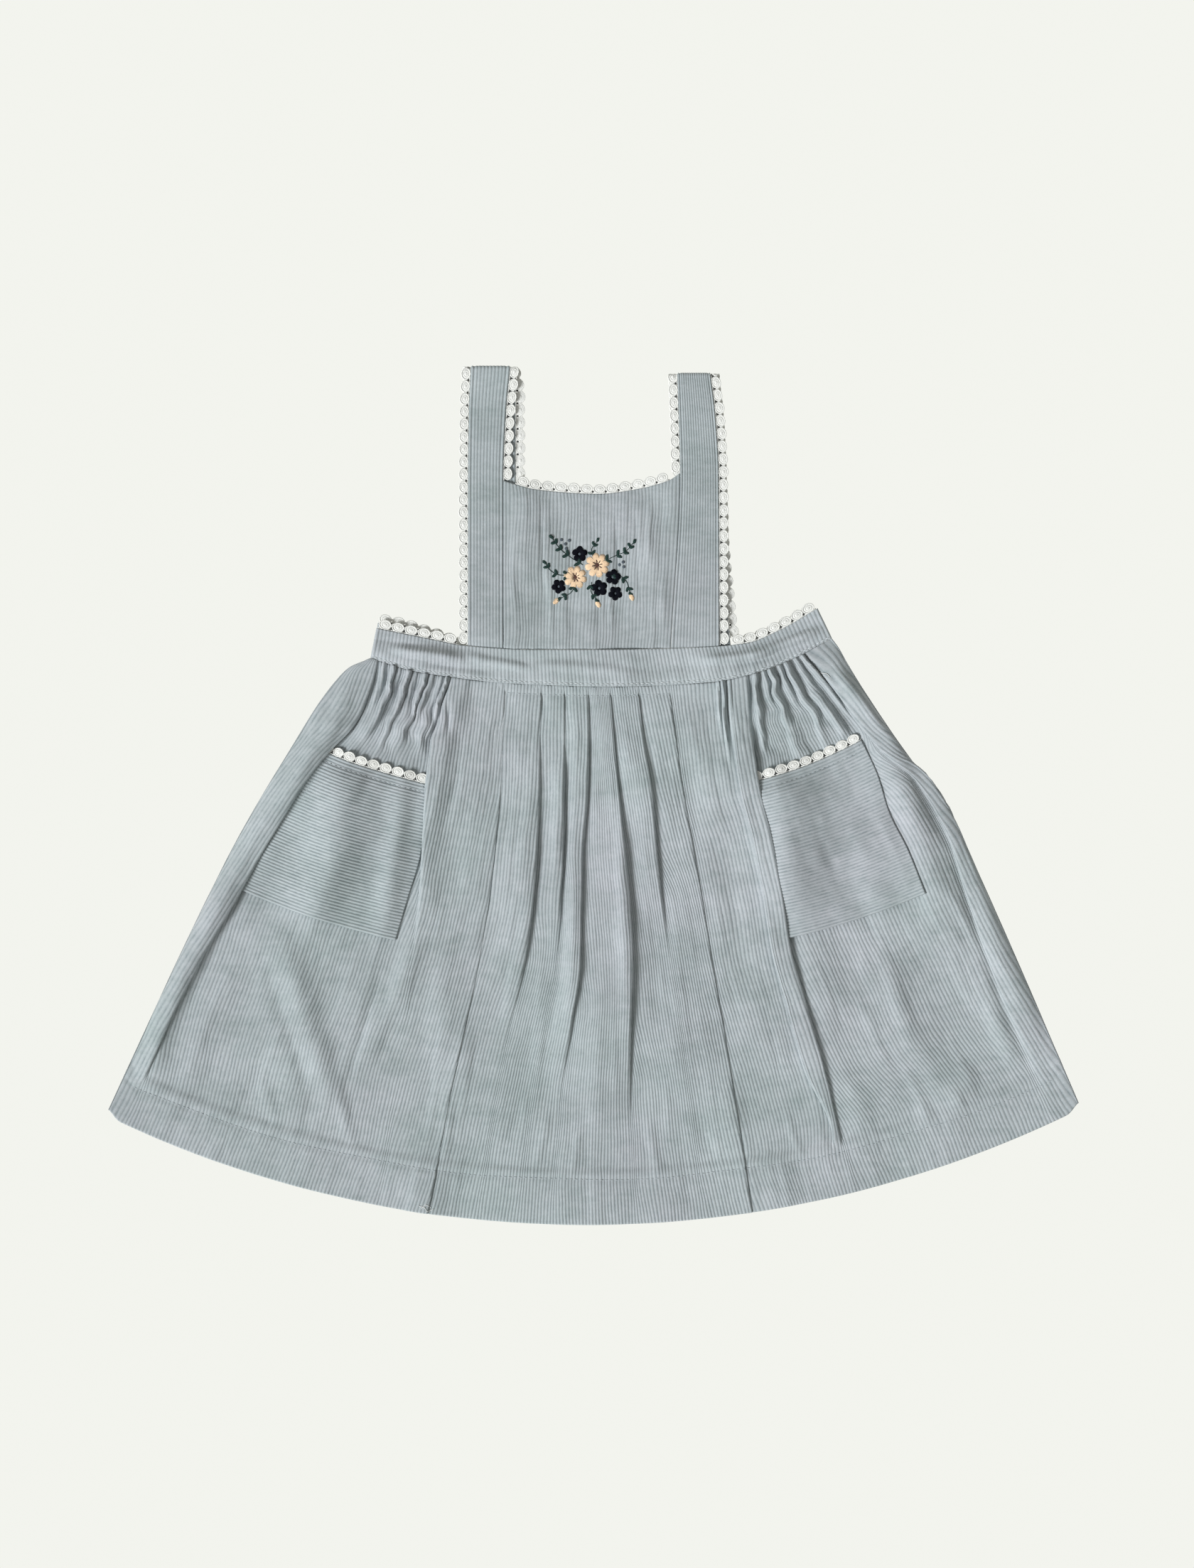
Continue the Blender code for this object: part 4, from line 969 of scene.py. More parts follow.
def pocket_surface(side):
    """Rows from the top edge down, a wale to every WALE_STEPS of them, each from left to right."""
    pocket = POCKETS[side]
    level = np.arange(POCKET_WALES * WALE_STEPS + 1)[:, None] / (POCKET_WALES * WALE_STEPS)
    share = spread_rows((0.0, 0.008, 2), (0.008, 0.992, 32), (0.992, 1.0, 2))
    if side == "left":
        share = share[::-1]
    down = mix(mix(pocket.top_inner, pocket.top_outer, share),
               mix(pocket.bottom_inner, pocket.bottom_outer, share), level)
    inner, outer = pocket_span(side, down)
    x = mix(inner, outer, share)
    y = skirt_y(x, down)
    z = lying(ground(down) + worn(x, y), ground(down)) + CLOTH + AIR
    full = creased(POCKET_CREASES, x, y) + uneven(x, y, POCKET_UNEVEN, SEEDS["pocket"]) + POCKET_FULL
    z = z + np.maximum(full, 0.0) * fade(level, 0.0, 0.12) * within(share, 0.0, 0.08, 0.92, 1.0)
    return np.stack([x, y, z], axis=2)


def add_pocket(side, material):
    mid = pocket_surface(side)
    numbers = (np.arange(mid.shape[0]) / WALE_STEPS)[:, None]
    dip = bell(travelled(mid, 0) - POCKET_STITCH, 0.8)
    relief = stitched(STANDING["pocket"] * ridges(numbers), dip, 0.25)
    return add_cloth("pocket_" + side, mid, CLOTH, relief, numbers, material, coarse=(WALE_STEPS, 2),
                     rim=1.0)


# ==== threads
DOME = ((0.6, -0.9), (0.95, -0.5), (1.0, 0.0), (0.95, 0.5), (0.6, 0.9))  # shares of radius and height


class Threads:
    """Many short threads and knots, collected into one mesh."""

    def __init__(self):
        self.points, self.faces, self.shaded = [], [], []

    def ring(self, points):
        """Takes in the points of a ring, and gives their numbers."""
        start = len(self.points)
        self.points += points
        return range(start, start + len(points))

    def skin(self, rings, closed=False):
        """Faces from each ring to the next, then back to the first ring, or else over both ends."""
        for near, far in zip(rings, rings[1:] + rings[:1] if closed else rings[1:]):
            for k in range(len(near)):
                after = (k + 1) % len(near)
                self.faces.append((near[k], near[after], far[after], far[k]))
        if not closed:
            self.faces += [tuple(reversed(rings[0])), tuple(rings[-1])]

    def tube(self, line, radii, up, sides=5, closed=False):
        """A thread along a line of points, round about it; up keeps its sides from twisting."""
        line = np.asarray(line, float)
        radii = np.broadcast_to(radii, len(line))
        tangent = np.roll(line, -1, 0) - np.roll(line, 1, 0) if closed else np.gradient(line, axis=0)
        side = np.cross(tangent, up)
        side /= np.maximum(np.linalg.norm(side, axis=1, keepdims=True), 1e-9)
        rise = np.cross(side, tangent)
        rise /= np.maximum(np.linalg.norm(rise, axis=1, keepdims=True), 1e-9)
        turns = [2 * math.pi * k / sides for k in range(sides)]
        rings = [self.ring([point + radius * (math.cos(turn) * a + math.sin(turn) * b) for turn in turns])
                 for point, radius, a, b in zip(line, radii, side, rise)]
        self.skin(rings, closed)

    def knot(self, place, radius, height, sides=8):
        """A low dome; place(x, y, z) puts its own coordinates where they belong."""
        turns = [2 * math.pi * k / sides for k in range(sides)]
        self.skin([self.ring([place(radius * share * math.cos(turn), radius * share * math.sin(turn),
                                    height * lift) for turn in turns]) for share, lift in DOME])

    def build(self, name, material):
        obj = new_mesh(name, self.points, self.faces, material)
        # points marked as shaded belong to the lace's dark discs of painted eyelet shade
        if self.shaded:
            shade = np.zeros(len(self.points), dtype=np.float32)
            shade[self.shaded] = 1.0
            obj.data.attributes.new("painted_eyelet_shade", "FLOAT", "POINT").data.foreach_set("value", shade)
        return obj


# ==== lace
LACE_THREAD = 0.40  # radius of the thickest cord
LACE_WOBBLE, LACE_DROP = 0.25, 0.12  # how much scallops differ in reach and in height
LACE_FOOT = 0.35  # the foot thread's distance from the cloth's edge
SCALLOP_AT = 2.75  # the middle of each scallop's medallion
MEDALLION, WIDER = 2.55, 1.31  # its radius, and how much longer it is along the edge
INNER_RING, HEART = 1.5, 0.95
JOINS = [((-0.7, 2.6), (0.7, 2.6)), ((-0.6, 3.4), (0.6, 3.4))]  # threads between medallions
EYELET_SHADOW_AT, EYELET_SHADOW_RADIUS = 1.15, 0.70 # where a dark disc of painted shade sits in an eyelet, out from the edge, and its radius


class LacePath:
    """The edge that a lace is sewn to: where it runs, which way is out, and which way is up."""

    def __init__(self, line, away, up):
        self.line, self.away, self.up = (np.asarray(a, float) for a in (line, away, up))
        self.reach = reached(self.line)

    def at(self, values, distance):
        return np.array([np.interp(distance, self.reach, values[:, k]) for k in range(3)]).T

    def place(self, along, out, high):
        out, high = (np.broadcast_to(a, np.shape(along))[..., None] for a in (out, high))
        return (self.at(self.line, along) + self.at(self.away, along) * (SEAM + out)
                + self.at(self.up, along) * high)


def add_lace(name, path, start, stop, material):
    """Cotton lace: a foot thread, round medallions joined side by side, and a dark disc of painted shade in
    the eyelet at each join.
    """
    threads = Threads()
    count = max(1, round((stop - start) / SCALLOP))
    size = (stop - start) / count
    stretch = size / SCALLOP
    draw = random.Random(name)
    for k in range(count):
        origin = start + k * size
        up = path.at(path.up, np.array([origin + size / 2]))[0]
        wobble = draw.uniform(-LACE_WOBBLE, LACE_WOBBLE)
        drop = draw.uniform(-LACE_DROP, LACE_DROP)

        def put(points, high):
            points = np.asarray(points, float)
            along = origin + points[:, 0] * stretch
            out = points[:, 1] + wobble * (points[:, 1] / LACE_WIDTH) ** 2
            return path.place(along, out, high)

        def on_scallop(x, y, z):
            return put([(SCALLOP / 2 + x * WIDER, SCALLOP_AT + y)], z + drop)[0]

        def cord(radius, thickness, high, steps, sides):
            turns = 2 * math.pi * np.arange(steps) / steps
            line = [on_scallop(radius * math.cos(t), radius * math.sin(t), high) for t in turns]
            threads.tube(line, thickness, up, sides=sides, closed=True)

        foot = [(x, LACE_FOOT) for x in np.linspace(-0.05, SCALLOP + 0.05, 5)]
        threads.tube(put(foot, 0.05), LACE_THREAD * 0.8, up)
        threads.knot(on_scallop, MEDALLION, 0.22, sides=12)
        cord(MEDALLION, LACE_THREAD, high=0.10, steps=12, sides=5)
        cord(INNER_RING, LACE_THREAD * 0.75, high=0.14, steps=8, sides=4)
        threads.knot(on_scallop, HEART, 0.42)
        if k:
            for join in JOINS:
                threads.tube(put(join, 0.0), LACE_THREAD * 0.9, up, sides=4)
            # a dark disc of painted shade in the eyelet at the join
            first = len(threads.points)
            threads.knot(lambda x, y, z: put([(x, EYELET_SHADOW_AT + y)], z - 0.1)[0], EYELET_SHADOW_RADIUS, 0.1, sides=6)
            threads.shaded += range(first, len(threads.points))
    piece = threads.build(name + "_threads", material)
    return settle(piece, "lace", name)


def edge_path(edge):
    """A lace path along an edge that runs from left to right in the flat."""
    edge = np.asarray(edge, float)
    along = np.gradient(edge, axis=0)
    along /= np.linalg.norm(along[:, :2], axis=1, keepdims=True)
    away = np.stack([-along[:, 1], along[:, 0], np.zeros(len(edge))], axis=1)
    return LacePath(edge, away, np.tile((0.0, 0.0, 1.0), (len(edge), 1)))


def strap_edge_path(side, edge_name):
    path = strap_path(side)
    away = math.copysign(1.0, path[0].outer) * (1 if edge_name == "outer" else -1)
    line = np.array([(getattr(row, edge_name), row.y, row.z) for row in path])
    along = np.gradient(line[:, 1:], axis=0)
    along /= np.linalg.norm(along, axis=1, keepdims=True)
    up = np.stack([np.zeros(len(line)), -along[:, 1], along[:, 0]], axis=1)
    return LacePath(line, np.tile((away, 0.0, 0.0), (len(line), 1)), up)


def add_strap_laces(side, material):
    strap = STRAPS[side]
    neck_corner = NECKLINE[0] if side == "left" else NECKLINE[-1]
    front_foot, back_foot = foot_y(strap.front[-1], LACE_ROOM), foot_y(strap.back[-1], LACE_ROOM)
    laces = []
    for edge_name, from_y, to_y in (("inner", neck_corner.y + SEAM, back_foot),
                                    ("outer", front_foot, back_foot + BACK_PEEK)):
        path = strap_edge_path(side, edge_name)
        start = from_y - path.line[0][1]
        stop = path.reach[-1] - (to_y - path.line[-1][1])
        laces.append(add_lace("lace_strap_" + edge_name + "_" + side, path, start, stop, material))
    return laces


def add_waist_laces(side, material):
    strap = STRAPS[side]
    end = BAND_TOP[0].x if side == "left" else BAND_TOP[-1].x
    laces = []
    for layer, edges, peek, height in (("", strap.front[-1], 0.0, BAND_AT_TOP),
                                       ("back_", strap.back[-1], BACK_PEEK, BAND / 2)):
        start = edges.outer + math.copysign(LACE_ROOM, end)
        stop = end - math.copysign(BACK_INSET, end)
        x = np.linspace(min(start, stop), max(start, stop), LACE_STEPS + 1)
        path = edge_path(np.stack([x, band_top(x, peek), np.full_like(x, height)], axis=1))
        laces.append(add_lace("lace_" + layer + "waist_" + side, path, 0.0, path.reach[-1], material))
    return laces


# ==== materials
class Shader:
    """A material being wired up: add() makes a node, and plug() sets or links its inputs."""

    def __init__(self, name):
        self.material = bpy.data.materials.new(name)
        self.material.use_nodes = True
        self.nodes = self.material.node_tree.nodes
        self.links = self.material.node_tree.links
        self.surface = self.nodes["Principled BSDF"]

    def plug(self, node, inputs):
        """Sets a node's inputs, or links them where the value is another node's socket."""
        for key, value in inputs.items():
            if isinstance(value, bpy.types.NodeSocket):
                self.links.new(value, node.inputs[key])
            else:
                node.inputs[key].default_value = value
        return node

    def add(self, kind, inputs=(), **settings):
        made = self.nodes.new("ShaderNode" + kind)
        for key, value in settings.items():
            setattr(made, key, value)
        return self.plug(made, dict(inputs))

    def maths(self, operation, *values):
        return self.add("Math", enumerate(values), operation=operation).outputs[0]

    def noise(self, vector, scale, detail=3.0, roughness=0.55):
        inputs = {"Vector": vector, "Scale": scale, "Detail": detail, "Roughness": roughness}
        return self.add("TexNoise", inputs).outputs["Fac"]

    def stretched(self, vector, x, y, z):
        return self.add("Mapping", {"Vector": vector, "Scale": (x, y, z)}).outputs[0]

    def blend(self, share, a, b, kind="MIX"):
        made = self.add("Mix", data_type="RGBA", blend_type=kind)
        a, b = ((*value, 1.0) if isinstance(value, tuple) else value for value in (a, b))
        return self.plug(made, {0: share, 6: a, 7: b}).outputs[2]

    def spread(self, value, low, high):
        """value, which lies about a half, taken to run from low to high between 0.3 and 0.7."""
        return self.add("MapRange", {0: value, 1: 0.3, 2: 0.7, 3: low, 4: high}).outputs[0]

    def finish(self, colour, bump, distance, roughness, sheen, strength):
        made = self.add("Bump", {"Height": bump, "Distance": distance, "Strength": strength})
        self.plug(self.surface, {"Base Color": colour, "Normal": made.outputs[0], "Roughness": roughness,
                                 "Sheen Weight": sheen, "Sheen Roughness": 0.5, "Specular IOR Level": 0.15})
        return self.material


def times(colour, factor):
    return tuple(min(1.0, part * factor) for part in colour)


CORDUROY_DARK = (0.330, 0.381, 0.375)
CORDUROY_LIGHT = (0.520, 0.562, 0.577)
NAP = (0.60, 0.625, 0.645)  # strokes that the pile was brushed in
VALLEY_PAINTED_SHADE = (0.13, 0.175, 0.19)  # painted shade in the valleys between the crests of the wales
GREENER, REDDER = (0.965, 1.0, 0.985), (1.03, 0.985, 1.015)  # how the dye's hue drifts
# painted shade for the dark discs in the lace's eyelets
EYELET_SHADE = (0.045, 0.047, 0.045)


def corduroy_material(name, tone=1.0, valley_shade_depth=1.0):
    """Cut-pile cotton: pale crests, valleys darkened with painted shade, a brushed nap and faint patches."""
    shader = Shader(name)
    places = shader.add("UVMap", uv_map="wales").outputs[0]
    across = shader.add("SeparateXYZ", {0: places}).outputs[0]
    phase = shader.maths("FRACT", across)
    off_crest = shader.maths("ABSOLUTE", shader.maths("SUBTRACT", phase, 0.5))
    valley = shader.maths("POWER", shader.maths("MULTIPLY", off_crest, 2.0), 1.8)
    body = shader.add("TexCoord").outputs["Object"]
    patches = shader.noise(shader.stretched(body, 1.0, 1.7, 1.0), 24.0, 4.0, 0.6)
    strokes = shader.noise(shader.stretched(body, 1.0, 3.0, 1.0), 95.0, 3.0, 0.6)
    fibres = shader.noise(shader.stretched(places, 3.2, 1.1, 1.0), 1.0, 3.0, 0.7)
    valley_shade_patches = shader.noise(shader.stretched(places, 0.55, 0.3, 1.0), 1.0, 3.0, 0.6)
    colour = shader.blend(shader.spread(patches, 0.15, 0.85), times(CORDUROY_DARK, tone),
                          times(CORDUROY_LIGHT, tone))
    colour = shader.blend(shader.spread(strokes, 0.0, 0.34), colour, NAP)
    hue = shader.noise(body, 9.0, 2.0, 0.5)
    tint = shader.blend(shader.spread(hue, 0.0, 1.0), GREENER, REDDER)
    colour = shader.blend(1.0, colour, tint, "MULTIPLY")
    # painted shade in the wales' valleys, deeper in some random patches than in others, with fibre noise
    # added
    shade = shader.maths("MULTIPLY", valley, shader.spread(valley_shade_patches, 0.60 * valley_shade_depth, 0.16 * valley_shade_depth))
    shade = shader.maths("ADD", shade, shader.spread(fibres, -0.08, 0.14))
    colour = shader.blend(shade, colour, VALLEY_PAINTED_SHADE)
    height = shader.maths("SUBTRACT", shader.maths("MULTIPLY", fibres, 0.5), valley)
    return shader.finish(colour, height, 0.00022, 0.95, 0.25, strength=0.8)


def thread_material(name, colour, roughness=0.75, sheen=0.2, shade_eyelets=False):
    shader = Shader(name)
    body = shader.add("TexCoord").outputs["Object"]
    fine = shader.noise(body, 1400.0, 2.0, 0.6)
    broad = shader.noise(body, 120.0, 2.0, 0.5)
    tint = shader.blend(shader.spread(fine, 0.1, 0.9), times(colour, 0.84), times(colour, 1.12))
    tint = shader.blend(shader.spread(broad, 0.0, 0.2), tint, times(colour, 0.84))
    # the points of the eyelet discs get the painted dark shade
    if shade_eyelets:
        shaded = shader.add("Attribute", attribute_name="painted_eyelet_shade").outputs["Fac"]
        tint = shader.blend(shaded, tint, EYELET_SHADE)
    return shader.finish(tint, fine, 0.00012, roughness, sheen, strength=0.6)


# ==== stitches
class Ground:
    """The upper side of some pieces, for laying threads on."""

    def __init__(self, pieces):
        points, faces = [], []
        for piece in pieces:
            start = len(points)
            points += [vertex.co / MM for vertex in piece.data.vertices]
            faces += [[start + i for i in polygon.vertices] for polygon in piece.data.polygons]
        self.tree = BVHTree.FromPolygons(points, faces)

    def height(self, x, y, default=0.0):
        hit = self.tree.ray_cast(Vector((x, y, 50.0)), Vector((0.0, 0.0, -1.0)))[0]
        return hit.z if hit else default


STITCH, STITCH_GAP, STITCH_THREAD = 2.3, 0.7, 0.20
STITCH_HEIGHTS = np.array([-0.27, 0.10, 0.10, -0.27])
UP = np.array((0.0, 0.0, 1.0))


def add_stitches(name, lines, ground_under, material, thread=STITCH_THREAD):
    """Short threads along lines of (x, y) that lie on the cloth and dive into it at their ends."""
    threads = Threads()
    for line in lines:
        line = np.asarray(line, float)
        reach = reached(line)
        start = STITCH_GAP / 2
        while start + STITCH < reach[-1]:
            spots = start + STITCH * np.array([0.0, 0.25, 0.75, 1.0])
            xs, ys = (np.interp(spots, reach, line[:, k]) for k in (0, 1))
            low = np.median([ground_under.height(x, y, np.nan) for x, y in zip(xs, ys)])
            if not np.isnan(low):
                radii = [thread * 0.7, thread, thread, thread * 0.7]
                threads.tube(np.stack([xs, ys, low + STITCH_HEIGHTS], axis=1), radii, UP)
            start += STITCH + STITCH_GAP
    return settle(threads.build(name, material), "corduroy")


def hem_line():
    x = np.linspace(side_left(HEM_AT) + 3.5, side_right(HEM_AT) - 3.5, 160)
    down = hem_stitch_down(x)
    return np.stack([x, skirt_y(x, down)], axis=1)


def pleat_lines():
    """One line of stitching across each pleat, just below the waist seam."""
    edges = [fold_edge[name](0.017) for name in ("seam_left",) + CENTRE_PLEATS + ("seam_right",)]
    lines = []
    for left, right in zip(edges, edges[1:]):
        x = np.linspace(left + 1.0, right - 0.3, 12)
        lines.append(np.stack([x, skirt_y(x, PLEAT_STITCH / SKIRT_LENGTH)], axis=1))
    return lines


def band_line():
    x = np.linspace(WAIST_SEAM[0].x + 1.5, WAIST_SEAM[-1].x - 1.5, 120)
    return np.stack([x, mix(waist_y(x), band_top_y(x), BAND_STITCH_UP)], axis=1)


def pocket_lines(side):
    """The stitching of a pocket's hem, and the short bars at its two upper corners."""
    mid = pocket_surface(side)
    row = int(np.argmin(np.abs(travelled(mid, 0)[:, mid.shape[1] // 2] - POCKET_STITCH)))
    return [mid[row, 2:-2, :2], mid[2:row, 3, :2], mid[2:row, -4, :2]]


# ==== embroidery
EMBROIDERY_AT = np.array((-1.9, 131.5))
STRAND_PITCH = 0.42  # from one satin stitch to the next
STRAND_SPOTS = np.array([0.0, 0.3, 0.7, 1.0])[:, None]
STRAND_HEIGHTS = np.array([-0.05, 1.0, 1.0, -0.05])
STRAND_WIDTHS = np.array([0.75, 1.0, 1.0, 0.75])
DOT_HEIGHT = 0.55
DAISY_PETALS = 8

Sprig = namedtuple("Sprig", "leaf width pairs stem")
SPRIGS = table(
    Sprig,
    (3.6, 1.9, 4, [(-4, 4), (-12, 9), (-18, 14), (-22, 19.5)]),
    (3.4, 1.8, 3, [(-10, -2), (-17, -2), (-23, 0.5), (-26, 4.5)]),
    (3.4, 1.8, 4, [(8, 6), (15, 9.5), (21, 12), (25.5, 17)]),
    (3.4, 1.8, 3, [(10, -2), (17.5, -2.5), (22, -6.5), (23.5, -12)]),
    (3.4, 1.8, 2, [(-8, -6), (-11, -12), (-17, -15.5)]),
    (3.2, 1.7, 2, [(1, -6), (0.5, -11), (3.5, -16)]),
    (3.0, 1.6, 2, [(2, 8), (1, 13), (4, 18)]),
)
Flower = namedtuple("Flower", "x y radius heart turn")
NAVY_FLOWERS = table(Flower, (-6, 10.6, 4.7, 0.9, 0.3), (-18.4, -8.6, 4.3, 0.8, 0.8),
                     (13.6, -3, 4.7, 0.9, 0.1), (5.6, -9.6, 5, 0.9, 0.5), (15, -12.6, 4.3, 0.8, 0.9))
DAISIES = table(Flower, (4.4, 4, 7.4, 1.5, 0.2), (-8.6, -3.2, 7, 1.5, 0.55))
BERRIES = [(-14.5, 16.5), (-12.2, 18.6), (-16.8, 19), (-14, 13.8), (17.5, 4.2), (20, 3), (19.6, 5.8)]
Bud = namedtuple("Bud", "x y angle")
BUDS = table(Bud, (-18, -16, 3.7), (4.2, -16.8, 5), (24.2, -12.6, 4.9))


def direction(angle):
    return np.array((math.cos(angle), math.sin(angle)))


def beside(way):
    """The direction a quarter turn to the left of another."""
    return np.array((-way[1], way[0]))


def smoothed(points, count=14):
    """A smooth line through a few points."""
    points = np.asarray(points, float)
    place, spots = np.linspace(0, 1, len(points)), np.linspace(0, 1, count)
    return np.stack([curve(place, points[:, k])(spots) for k in (0, 1)], axis=1)


class Needlework:
    """Satin stitches on the bib, sorted by the colour of their thread."""

    def __init__(self, cloth):
        self.cloth, self.colours = cloth, {}
        self.draw = random.Random(7)

    def threads(self, colour):
        return self.colours.setdefault(colour, Threads())

    def strand(self, colour, a, b, thickness=0.24, lift=0.30):
        """One satin stitch from a to b, raised in the middle."""
        line = mix(np.asarray(a, float), np.asarray(b, float), STRAND_SPOTS) + EMBROIDERY_AT
        low = [self.cloth.height(x, y) for x, y in line]
        z = max(low) + STRAND_HEIGHTS * lift
        self.threads(colour).tube(np.column_stack([line, z]), thickness * STRAND_WIDTHS, UP, sides=4)

    def satin(self, colour, start, end, width_at, slant, count):
        """Slanting stitches side by side across a spine from its start to its end."""
        start, end = np.asarray(start, float), np.asarray(end, float)
        along = end - start
        length = np.linalg.norm(along)
        along /= length
        for i in range(count):
            share = (i + 0.5) / count
            half = width_at(share) / 2
            middle = start + along * length * share
            reach = beside(along) * half + along * half * slant
            jitter = self.draw.uniform(-0.12, 0.12)
            self.strand(colour, middle - reach - along * jitter, middle + reach + along * jitter)

    def petal(self, colour, centre, angle, near, far, width):
        """Stitches side by side from a flower's middle to a round tip."""
        out = direction(angle)
        aside = beside(out)
        half = width / 2
        count = max(4, round(width / STRAND_PITCH))
        for i in range(count):
            off = ((i + 0.5) / count * 2 - 1) * half
            tip = (far - half + math.sqrt(half ** 2 - off ** 2)) * self.draw.uniform(0.97, 1.02)
            inner = centre + out * near * self.draw.uniform(0.9, 1.15) + aside * off * 0.35
            self.strand(colour, inner, centre + out * tip + aside * off, thickness=0.26, lift=0.36)

    def dot(self, colour, centre, radius):
        x, y = centre + EMBROIDERY_AT
        low = self.cloth.height(x, y)
        self.threads(colour).knot(lambda a, b, c: (x + a, y + b, low + c), radius, DOT_HEIGHT)

    def flower(self, flower, petal_colour, heart_colour, petals):
        centre = np.array((flower.x, flower.y), float)
        width = 2 * math.pi * 0.68 * flower.radius / petals * 1.06
        for k in range(petals):
            angle = flower.turn + 2 * math.pi * k / petals
            self.petal(petal_colour, centre, angle, flower.radius * 0.16, flower.radius, width)
        self.dot(heart_colour, centre, flower.heart)

    def leaf(self, root, angle, length, width):
        self.satin("green", root, root + direction(angle) * length,
                   lambda s: width * math.sin(math.pi * (0.08 + 0.86 * s)) + 0.25,
                   0.55, max(4, round(length / STRAND_PITCH)))

    def sprig(self, sprig):
        """A stem through some points with leaves in pairs along it and one at its tip."""
        stem = smoothed(sprig.stem)
        for a, b in zip(stem, stem[1:]):
            self.strand("green", a, b + (b - a) * 0.15, thickness=0.22, lift=0.22)
        for i in range(sprig.pairs):
            share = (i + 0.6) / sprig.pairs
            k = min(len(stem) - 2, int(share * (len(stem) - 1)))
            heading = math.atan2(*(stem[k + 1] - stem[k])[::-1])
            for side in (-1, 1):
                self.leaf(stem[k], heading + side * 0.85, sprig.leaf * (1.08 - 0.35 * share), sprig.width)
        heading = math.atan2(*(stem[-1] - stem[-2])[::-1])
        self.leaf(stem[-1], heading, sprig.leaf * 0.8, sprig.width)

    def bud(self, bud):
        root, out = np.array((bud.x, bud.y)), direction(bud.angle)
        self.satin("peach", root + out * 0.8, root + out * 4.4,
                   lambda s: 3.0 * math.sin(math.pi * (0.2 + 0.7 * s)), 0.4, 10)
        self.satin("green", root, root + out * 1.5, lambda s: 2.4 * (1 - 0.4 * s), 0.5, 4)

    def build(self, palette):
        return [settle(threads.build("embroidery_" + colour, palette[colour]), "lace")
                for colour, threads in self.colours.items()]


def embroider(cloth, palette):
    """A small spray of garden flowers: daisies in peach and in navy, with sprigs, buds and berries."""
    work = Needlework(cloth)
    for sprig in SPRIGS:
        work.sprig(sprig)
    for berry in BERRIES:
        work.dot("grey", np.array(berry), 1.0)
    for flower in NAVY_FLOWERS:
        work.flower(flower, "navy", "grey", 5)
    for daisy in DAISIES:
        work.flower(daisy, "peach", "brown", DAISY_PETALS)
        centre = np.array((daisy.x, daisy.y))
        for k in range(DAISY_PETALS):
            out = direction(daisy.turn + 2 * math.pi * k / DAISY_PETALS)
            tip = centre + out * daisy.radius * 0.5
            work.strand("brown", centre + out * 1.0, tip, thickness=0.3, lift=0.66)
    for bud in BUDS:
        work.bud(bud)
    return work.build(palette)


# ==== loose ends
LOOSE_ENDS = [[(132.4, 73.5), (135.0, 71.6), (137.4, 71.4), (139.6, 69.4)],
              [(-102.6, -242.4), (-99.4, -243.2), (-97.6, -245.6), (-94.0, -244.2)],
              [(-101.0, -244.0), (-98.6, -241.6), (-95.6, -243.4)]]
LOOSE_THREAD = 0.16
FREE_HEIGHT = 2.2  # of a loose end beyond the hem


def add_loose_ends(cloth, material):
    threads = Threads()
    for ends in LOOSE_ENDS:
        line = smoothed(ends)
        z = [cloth.height(x, y, FREE_HEIGHT) + 0.25 for x, y in line]
        threads.tube(np.column_stack([line, z]), LOOSE_THREAD, UP)
    return settle(threads.build("loose_ends", material), "lace")


# ==== the studio
PICTURE_HEIGHT = 2206  # in pixels; it is the longer side, which the sensor's width covers
PIXEL = 0.42  # millimetres to a pixel on the surface
PICTURE_CENTRE = (2.3, 6.3)
LENS, SENSOR = 100.0, 36.0
FLOOR, FLOOR_BELOW = 6.0, 0.4  # how wide it is, in metres, and how far below the cloth, in millimetres
FLOOR_COLOUR = (0.896, 0.905, 0.855)
SUN, SUN_COLOUR = 3.35, (0.98, 1.0, 1.03)
SUN_WIDTH, SUN_FROM = 22, (-1.1, -0.6, 1.0)  # its angle in degrees, and the way to it
SKY, SKY_COLOUR = 0.33, (0.99, 1.0, 0.965, 1.0)


def add_studio():
    """A pale floor, a soft light from the lower left, pale surroundings and a camera straight above."""
    half = FLOOR / 2
    points = np.array([(-half, -half, 0), (half, -half, 0), (half, half, 0), (-half, half, 0)]) / MM
    shader = Shader("floor")
    body = shader.add("TexCoord").outputs["Object"]
    tint = shader.blend(shader.noise(body, 3.0), FLOOR_COLOUR, times(FLOOR_COLOUR, 0.995))
    shader.plug(shader.surface, {"Emission Color": tint, "Emission Strength": 1.0, "Roughness": 1.0,
                                 "Base Color": (0.0, 0.0, 0.0, 1.0), "Specular IOR Level": 0.0})
    new_mesh("floor", points - (0, 0, FLOOR_BELOW), [(0, 1, 2, 3)], shader.material)

    sun = bpy.data.lights.new("soft_key", "SUN")
    sun.energy, sun.color, sun.angle = SUN, SUN_COLOUR, math.radians(SUN_WIDTH)
    lamp = bpy.data.objects.new("soft_key", sun)
    lamp.rotation_euler = Vector(SUN_FROM).to_track_quat("Z", "Y").to_euler()
    bpy.context.scene.collection.objects.link(lamp)

    world = bpy.data.worlds.new("studio")
    world.use_nodes = True
    background = world.node_tree.nodes["Background"]
    background.inputs["Color"].default_value = SKY_COLOUR
    background.inputs["Strength"].default_value = SKY
    bpy.context.scene.world = world
    bpy.context.scene.view_settings.view_transform = "Standard"

    camera = bpy.data.cameras.new("above")
    camera.lens, camera.sensor_width = LENS, SENSOR
    above = bpy.data.objects.new("above", camera)
    distance = PICTURE_HEIGHT * PIXEL * LENS / SENSOR
    above.location = (PICTURE_CENTRE[0] * MM, PICTURE_CENTRE[1] * MM, distance * MM)
    bpy.context.scene.collection.objects.link(above)
    bpy.context.scene.camera = above
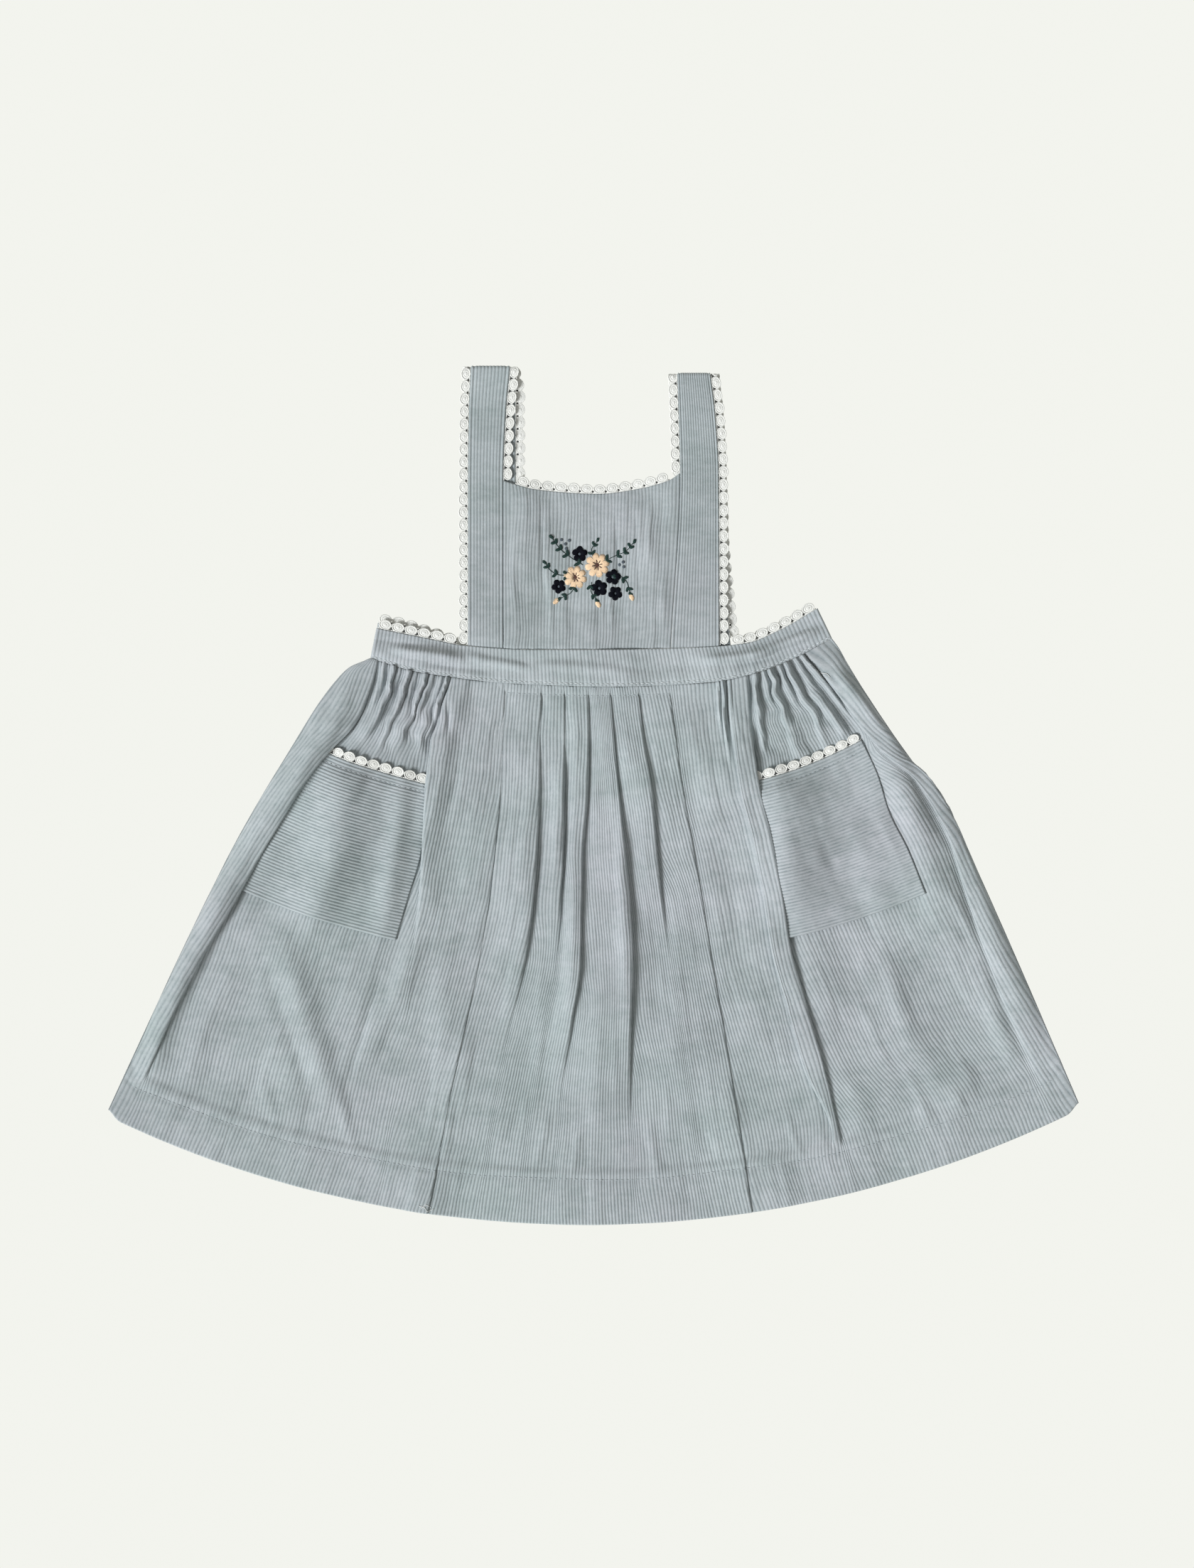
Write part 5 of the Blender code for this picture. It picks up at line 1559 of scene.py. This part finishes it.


# ==== the dress
# the second number, where given, scales the painted shade in the wales' valleys
corduroy = corduroy_material("corduroy_blue")
corduroy_pocket = corduroy_material("corduroy_pocket", 1.04, 1.2)
corduroy_bib = corduroy_material("corduroy_bib", 0.905, 0.6)
corduroy_band = corduroy_material("corduroy_band", 1.04, 0.8)
# its eyelet discs carry a painted dark shade
lace_cotton = thread_material("lace_cotton", (0.84, 0.84, 0.80), shade_eyelets=True)
sewing_thread = thread_material("sewing_thread", (0.42, 0.46, 0.48), 0.6)
pale_thread = thread_material("pale_thread", (0.60, 0.64, 0.65), 0.6)
loose_cotton = thread_material("loose_cotton", (0.85, 0.86, 0.84), 0.6)
palette = {name: thread_material("thread_" + name, *look) for name, *look in (
    ("peach", (0.97, 0.70, 0.47), 0.5, 0.3),
    ("brown", (0.10, 0.045, 0.035), 0.5, 0.3),
    ("navy", (0.002, 0.0025, 0.007), 0.8, 0.0),
    ("green", (0.018, 0.050, 0.042), 0.6, 0.1),
    ("grey", (0.09, 0.11, 0.13), 0.5, 0.3),
)}

fronts = [add_front("skirt_front_left", left_line, True, corduroy, 0.85),
          add_front("skirt_front_centre", centre_line, False, corduroy, 1.0),
          add_front("skirt_front_right", right_line, True, corduroy, 0.7)]
back = add_back(corduroy)
band_front, band_back = add_waistbands(corduroy_band)
bib = add_bib(corduroy_bib)
straps = {side: add_strap(side, corduroy_bib) for side in STRAPS}
pockets = {side: add_pocket(side, corduroy_pocket) for side in POCKETS}

neck_edge = edge_path(bib_surface()[0])
neck_lace = add_lace("lace_neck", neck_edge, LACE_ROOM, neck_edge.reach[-1] - LACE_ROOM, lace_cotton)
strap_laces = {side: add_strap_laces(side, lace_cotton) for side in STRAPS}
waist_laces = {side: add_waist_laces(side, lace_cotton) for side in STRAPS}
for pocket_side in POCKETS:
    pocket_edge = edge_path(pocket_surface(pocket_side)[0])
    add_lace("lace_pocket_" + pocket_side, pocket_edge, SEAM,
                                         pocket_edge.reach[-1] - SEAM, lace_cotton)

skirt_ground = Ground(fronts)
hem_stitches = add_stitches("stitches_hem", [hem_line()], skirt_ground, sewing_thread)
pleat_stitches = add_stitches("stitches_pleats", pleat_lines(), skirt_ground, sewing_thread)
band_stitches = add_stitches("stitches_waistband", [band_line()], Ground([band_front]),
                             pale_thread, thread=0.3)
pocket_stitches = {side: add_stitches("stitches_pocket_" + side, pocket_lines(side), Ground([pockets[side]]),
                                      sewing_thread) for side in POCKETS}
embroidery = embroider(Ground([bib]), palette)
loose_ends = add_loose_ends(Ground(fronts + [band_front]), loose_cotton)

# The cut of each piece, laid flat before it was sewn, in metres and square metres.
CUTS = {"skirt_front_left_cloth": ((0.215, 0.345), 0.066),
        "skirt_front_centre_cloth": ((0.205, 0.345), 0.062),
        "skirt_front_right_cloth": ((0.215, 0.345), 0.066)}
for piece, going in zip(fronts, ([hem_stitches], [pleat_stitches], [loose_ends])):
    flat, area = CUTS[piece.name]
    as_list(going)
for side, strap in straps.items():
    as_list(strap_laces[side])

add_studio()
